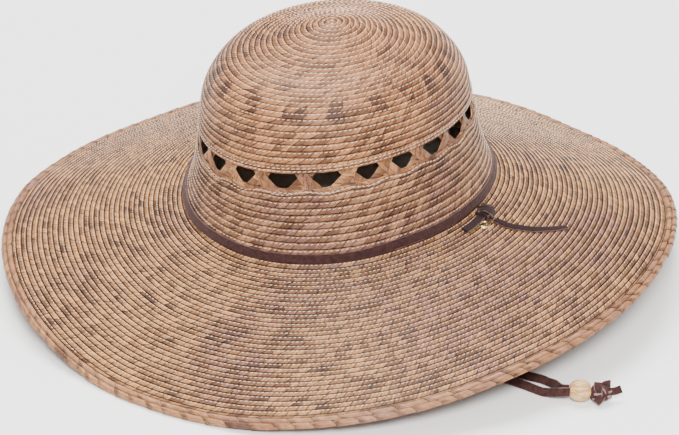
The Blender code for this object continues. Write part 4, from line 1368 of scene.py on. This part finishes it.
# Cord knot
# Behind the bead the two runs of suede lace are tied in one bulky knot, so the bead can't slip off.
# The laces' cut ends stand out of it.
LACE_GAP = 0.0003
CORD_KNOT_SIZE = (0.0104, 0.0122, 0.0088)
CORD_KNOT_LIFT = 0.0006
CORD_LACE_WIDTH = 0.0042
along_lace = Matrix.Rotation(BEAD_TURN, 4, "Z")
knot_reach = face_half + LACE_GAP + CORD_KNOT_SIZE[0] / 2
knot_centre = (Vector((*BEAD_CENTRE, CORD_KNOT_SIZE[2] / 2 + CORD_KNOT_LIFT))
               + along_lace @ Vector((knot_reach, 0, 0)))
ends_place = Matrix.Translation(knot_centre) @ along_lace
cord_knot_place = ends_place @ Matrix.Rotation(math.radians(90), 4, "Z")
CORD_KNOT_TURNS = (
    (0.0050, 0.0012, 0.0034, 0.15, 0.30, -0.0018),
    (0.0047, 0.0012, 0.0036, -0.20, -0.35, 0.0016),
    (0.0036, 0.0016, 0.0034, 0.30, 1.2, 0.0),
)
cord_suede = suede_material("cord_suede", (0.010, 0.0036, 0.0036), (0.062, 0.0225, 0.0200), 0.55)
# Cut ends from the middle of the knot: points along, sideways and up, then the way the face looks
CORD_ENDS = (
    (((0.0000, -0.0005, 0.0010), (0.0050, -0.0010, 0.0010), (0.0086, 0.0000, 0.0010),
      (0.0116, 0.0006, 0.0018)), (0.0, -0.85, 0.55)),
    (((0.0010, -0.0010, 0.0005), (-0.0010, -0.0030, 0.0030), (-0.0022, -0.0028, 0.0054),
      (-0.0020, -0.0018, 0.0078)), (0.25, -0.8, 0.5)),
    (((0.0005, -0.0015, 0.0000), (0.0000, -0.0046, 0.0005), (-0.0012, -0.0062, -0.0010),
      (-0.0028, -0.0070, -0.0022)), (-0.1, -0.7, 0.7)),
    (((0.0000, 0.0010, 0.0010), (0.0030, 0.0020, 0.0038), (0.0052, 0.0010, 0.0050)), (0.3, -0.6, 0.7)),
)
knot_turns = knot_parts(cord_knot_place, CORD_KNOT_TURNS, CORD_LACE_WIDTH)
for end_route, end_facing in CORD_ENDS:
    smooth = smooth_curve(end_route, 12)
    placed = [ends_place @ Vector(point) for point in smooth]
    facing = ends_place.to_3x3() @ Vector(end_facing)
    knot_turns.append(ribbon(placed, facing, LACE_WIDTH * 0.85, LACE_THICKNESS * 0.9, LACE_OUTLINE))
cord_knot = joined_piece("cord_knot_lace", knot_turns, cord_suede, ("cord_knot",))

# Chin strap
# One flat suede lace whose two runs go from the eyelets under the hat to the bead at the right front.
# The runs lie loose on the table under the brim, and come out side by side at the rim.
LACE_TUBE = 0.003
RIGHT_LACE_ROUTE = (
    (0.0990, -0.0140, 0.0310),
    (0.0945, -0.0110, 0.0160),
    (0.0840, -0.0050, 0.0040),
    (0.0680, 0.0050, 0.0015),
    (0.0450, 0.0170, 0.0015),
    (0.0260, 0.0150, 0.0015),
    (0.0160, -0.0030, 0.0015),
    (0.0280, -0.0250, 0.0015),
    (0.0580, -0.0460, 0.0015),
    (0.0960, -0.0680, 0.0015),
    (0.1300, -0.0870, 0.0015),
    (0.1500, -0.0935, 0.0015),
    (0.1612, -0.0936, 0.0015),
    (0.1698, -0.0938, 0.0022),
    (0.1770, -0.0968, 0.0040),
)
LEFT_LACE_ROUTE = (
    (-0.0990, 0.0150, 0.0270),
    (-0.0945, 0.0130, 0.0130),
    (-0.0840, 0.0070, 0.0030),
    (-0.0660, -0.0040, 0.0015),
    (-0.0350, -0.0160, 0.0015),
    (0.0000, -0.0320, 0.0015),
    (0.0380, -0.0640, 0.0015),
    (0.0720, -0.0920, 0.0015),
    (0.1080, -0.1050, 0.0015),
    (0.1350, -0.1035, 0.0015),
    (0.1480, -0.1018, 0.0015),
    (0.1619, -0.1033, 0.0015),
    (0.1695, -0.1048, 0.0020),
    (0.1765, -0.1056, 0.0035),
)
# Tilt of the lace's face off flat along its run: share of the run, degrees towards the front
LACE_TILT = ((0.0, 0), (0.2, 0), (0.75, 0), (0.86, 38), (0.93, 58), (1.0, 72))
LACE_STEPS = 150
TABLE_GAP = 0.0001


def lace_run(side, route, name):
    """Flat lace from under an eyelet to the bead, never below the table."""
    mouth = brim_place(EYELET_DISTANCE, EYELET_ANGLES[side])
    depth = -(STRAW_WALL + 2 * LACE_GAP + EYELET_METAL)
    sideways = (LACE_TUBE + LACE_GAP) / 2 * (1 if side == "right" else -1)
    bead_line = Matrix.Translation((*BEAD_CENTRE, bead_radius)) @ along_lace
    start = [mouth @ Vector((0, 0, depth)), mouth @ Vector((0, 0, depth - LACE_TUBE))]
    end = [bead_line @ Vector((-face_half - LACE_GAP - reach, sideways, 0)) for reach in (LACE_TUBE, 0)]
    whole = [tuple(point) for point in start] + list(route) + [tuple(point) for point in end]
    points = smooth_curve(whole, LACE_STEPS)
    share = np.linspace(0, 1, LACE_STEPS)
    tilt = np.radians(np.interp(share, *zip(*LACE_TILT)))
    ahead = np.gradient(points, axis=0)
    ahead /= np.linalg.norm(ahead, axis=1, keepdims=True)
    level = np.cross([0, 0, 1], ahead)
    level /= np.maximum(np.linalg.norm(level, axis=1, keepdims=True), 1e-9)
    up = np.cross(ahead, level)
    facing = up * np.cos(tilt)[:, None] - level * np.sin(tilt)[:, None]
    across = np.cross(facing, ahead)
    lowest = LACE_WIDTH / 2 * np.abs(across[:, 2]) + LACE_THICKNESS / 2 * np.abs(facing[:, 2])
    points[:, 2] = np.maximum(points[:, 2], lowest + TABLE_GAP)
    part = ribbon(points, facing, LACE_WIDTH * 0.97, LACE_THICKNESS, LACE_OUTLINE)
    return joined_piece(name, [part], cord_suede, ("chin_lace_" + side,)), points


right_run, right_points = lace_run("right", RIGHT_LACE_ROUTE, "strap_run_right")
left_run, left_points = lace_run("left", LEFT_LACE_ROUTE, "strap_run_left")

# Table, light and camera
# A plain pale table under soft studio light: two large lamps, a weak one and a bright even sky.
# The camera stands where the photo's did, with the lens that gives the photo's frame.
TABLE_SIZE = 14
TABLE_COLOUR = (0.93, 0.93, 0.93, 1.0)
SKY_STRENGTH = 0.79
# Lamps: name, place, size, power and colour
LAMPS = (
    ("key", (0.85, -1.5, 1.65), (0.9, 0.6), 100, (1.0, 0.98, 0.95)),
    ("fill", (-1.8, -0.6, 1.2), (1.2, 1.2), 2, (0.96, 0.98, 1.0)),
    ("top", (-0.6, 0.8, 1.95), (1.6, 1.2), 104, (1.0, 1.0, 1.0)),
)
CAMERA_TURN = math.radians(25.015)
CAMERA_RISE = math.radians(28.635)
CAMERA_TARGET = Vector((0.0, 0.0, 0.06))
CAMERA_DISTANCE = 1.6
CAMERA_LENS = 141.08
CAMERA_OFF_AXIS = (-0.000599, -0.022944)

bpy.ops.mesh.primitive_plane_add(size=TABLE_SIZE)
table = bpy.context.object
table.name = "table"
pale_table, _, table_sockets = start_material("pale_table", 0.75, specular=0.2)
table_sockets["Base Color"].default_value = TABLE_COLOUR
table.data.materials.append(pale_table)

for name, place, size, power, colour in LAMPS:
    lamp = bpy.data.lights.new(name, "AREA")
    lamp.shape = "RECTANGLE"
    lamp.size, lamp.size_y = size
    lamp.energy = power
    lamp.color = colour
    holder = bpy.data.objects.new(name, lamp)
    holder.location = place
    holder.rotation_mode = "QUATERNION"
    holder.rotation_quaternion = (CAMERA_TARGET - Vector(place)).to_track_quat("-Z", "Y")
    bpy.context.scene.collection.objects.link(holder)

sky = bpy.data.worlds.new("studio")
sky.use_nodes = True
background = sky.node_tree.nodes["Background"]
background.inputs[0].default_value = (1.0, 1.0, 1.0, 1.0)
background.inputs[1].default_value = SKY_STRENGTH
bpy.context.scene.world = sky

right = Vector((math.cos(CAMERA_TURN), math.sin(CAMERA_TURN), 0))
back = Vector((math.sin(CAMERA_TURN) * math.cos(CAMERA_RISE),
               -math.cos(CAMERA_TURN) * math.cos(CAMERA_RISE), math.sin(CAMERA_RISE)))
up = back.cross(right)
aim = (-back + right * CAMERA_OFF_AXIS[0] + up * CAMERA_OFF_AXIS[1]).normalized()
side = aim.cross(up).normalized()
lens = bpy.data.cameras.new("camera")
lens.lens = CAMERA_LENS
lens.sensor_width = 36
lens.clip_start = 0.05
camera = bpy.data.objects.new("camera", lens)
camera.location = CAMERA_TARGET + back * CAMERA_DISTANCE
camera.rotation_mode = "QUATERNION"
camera.rotation_quaternion = Matrix((side, side.cross(aim), -aim)).transposed().to_quaternion()
bpy.context.scene.collection.objects.link(camera)
bpy.context.scene.camera = camera
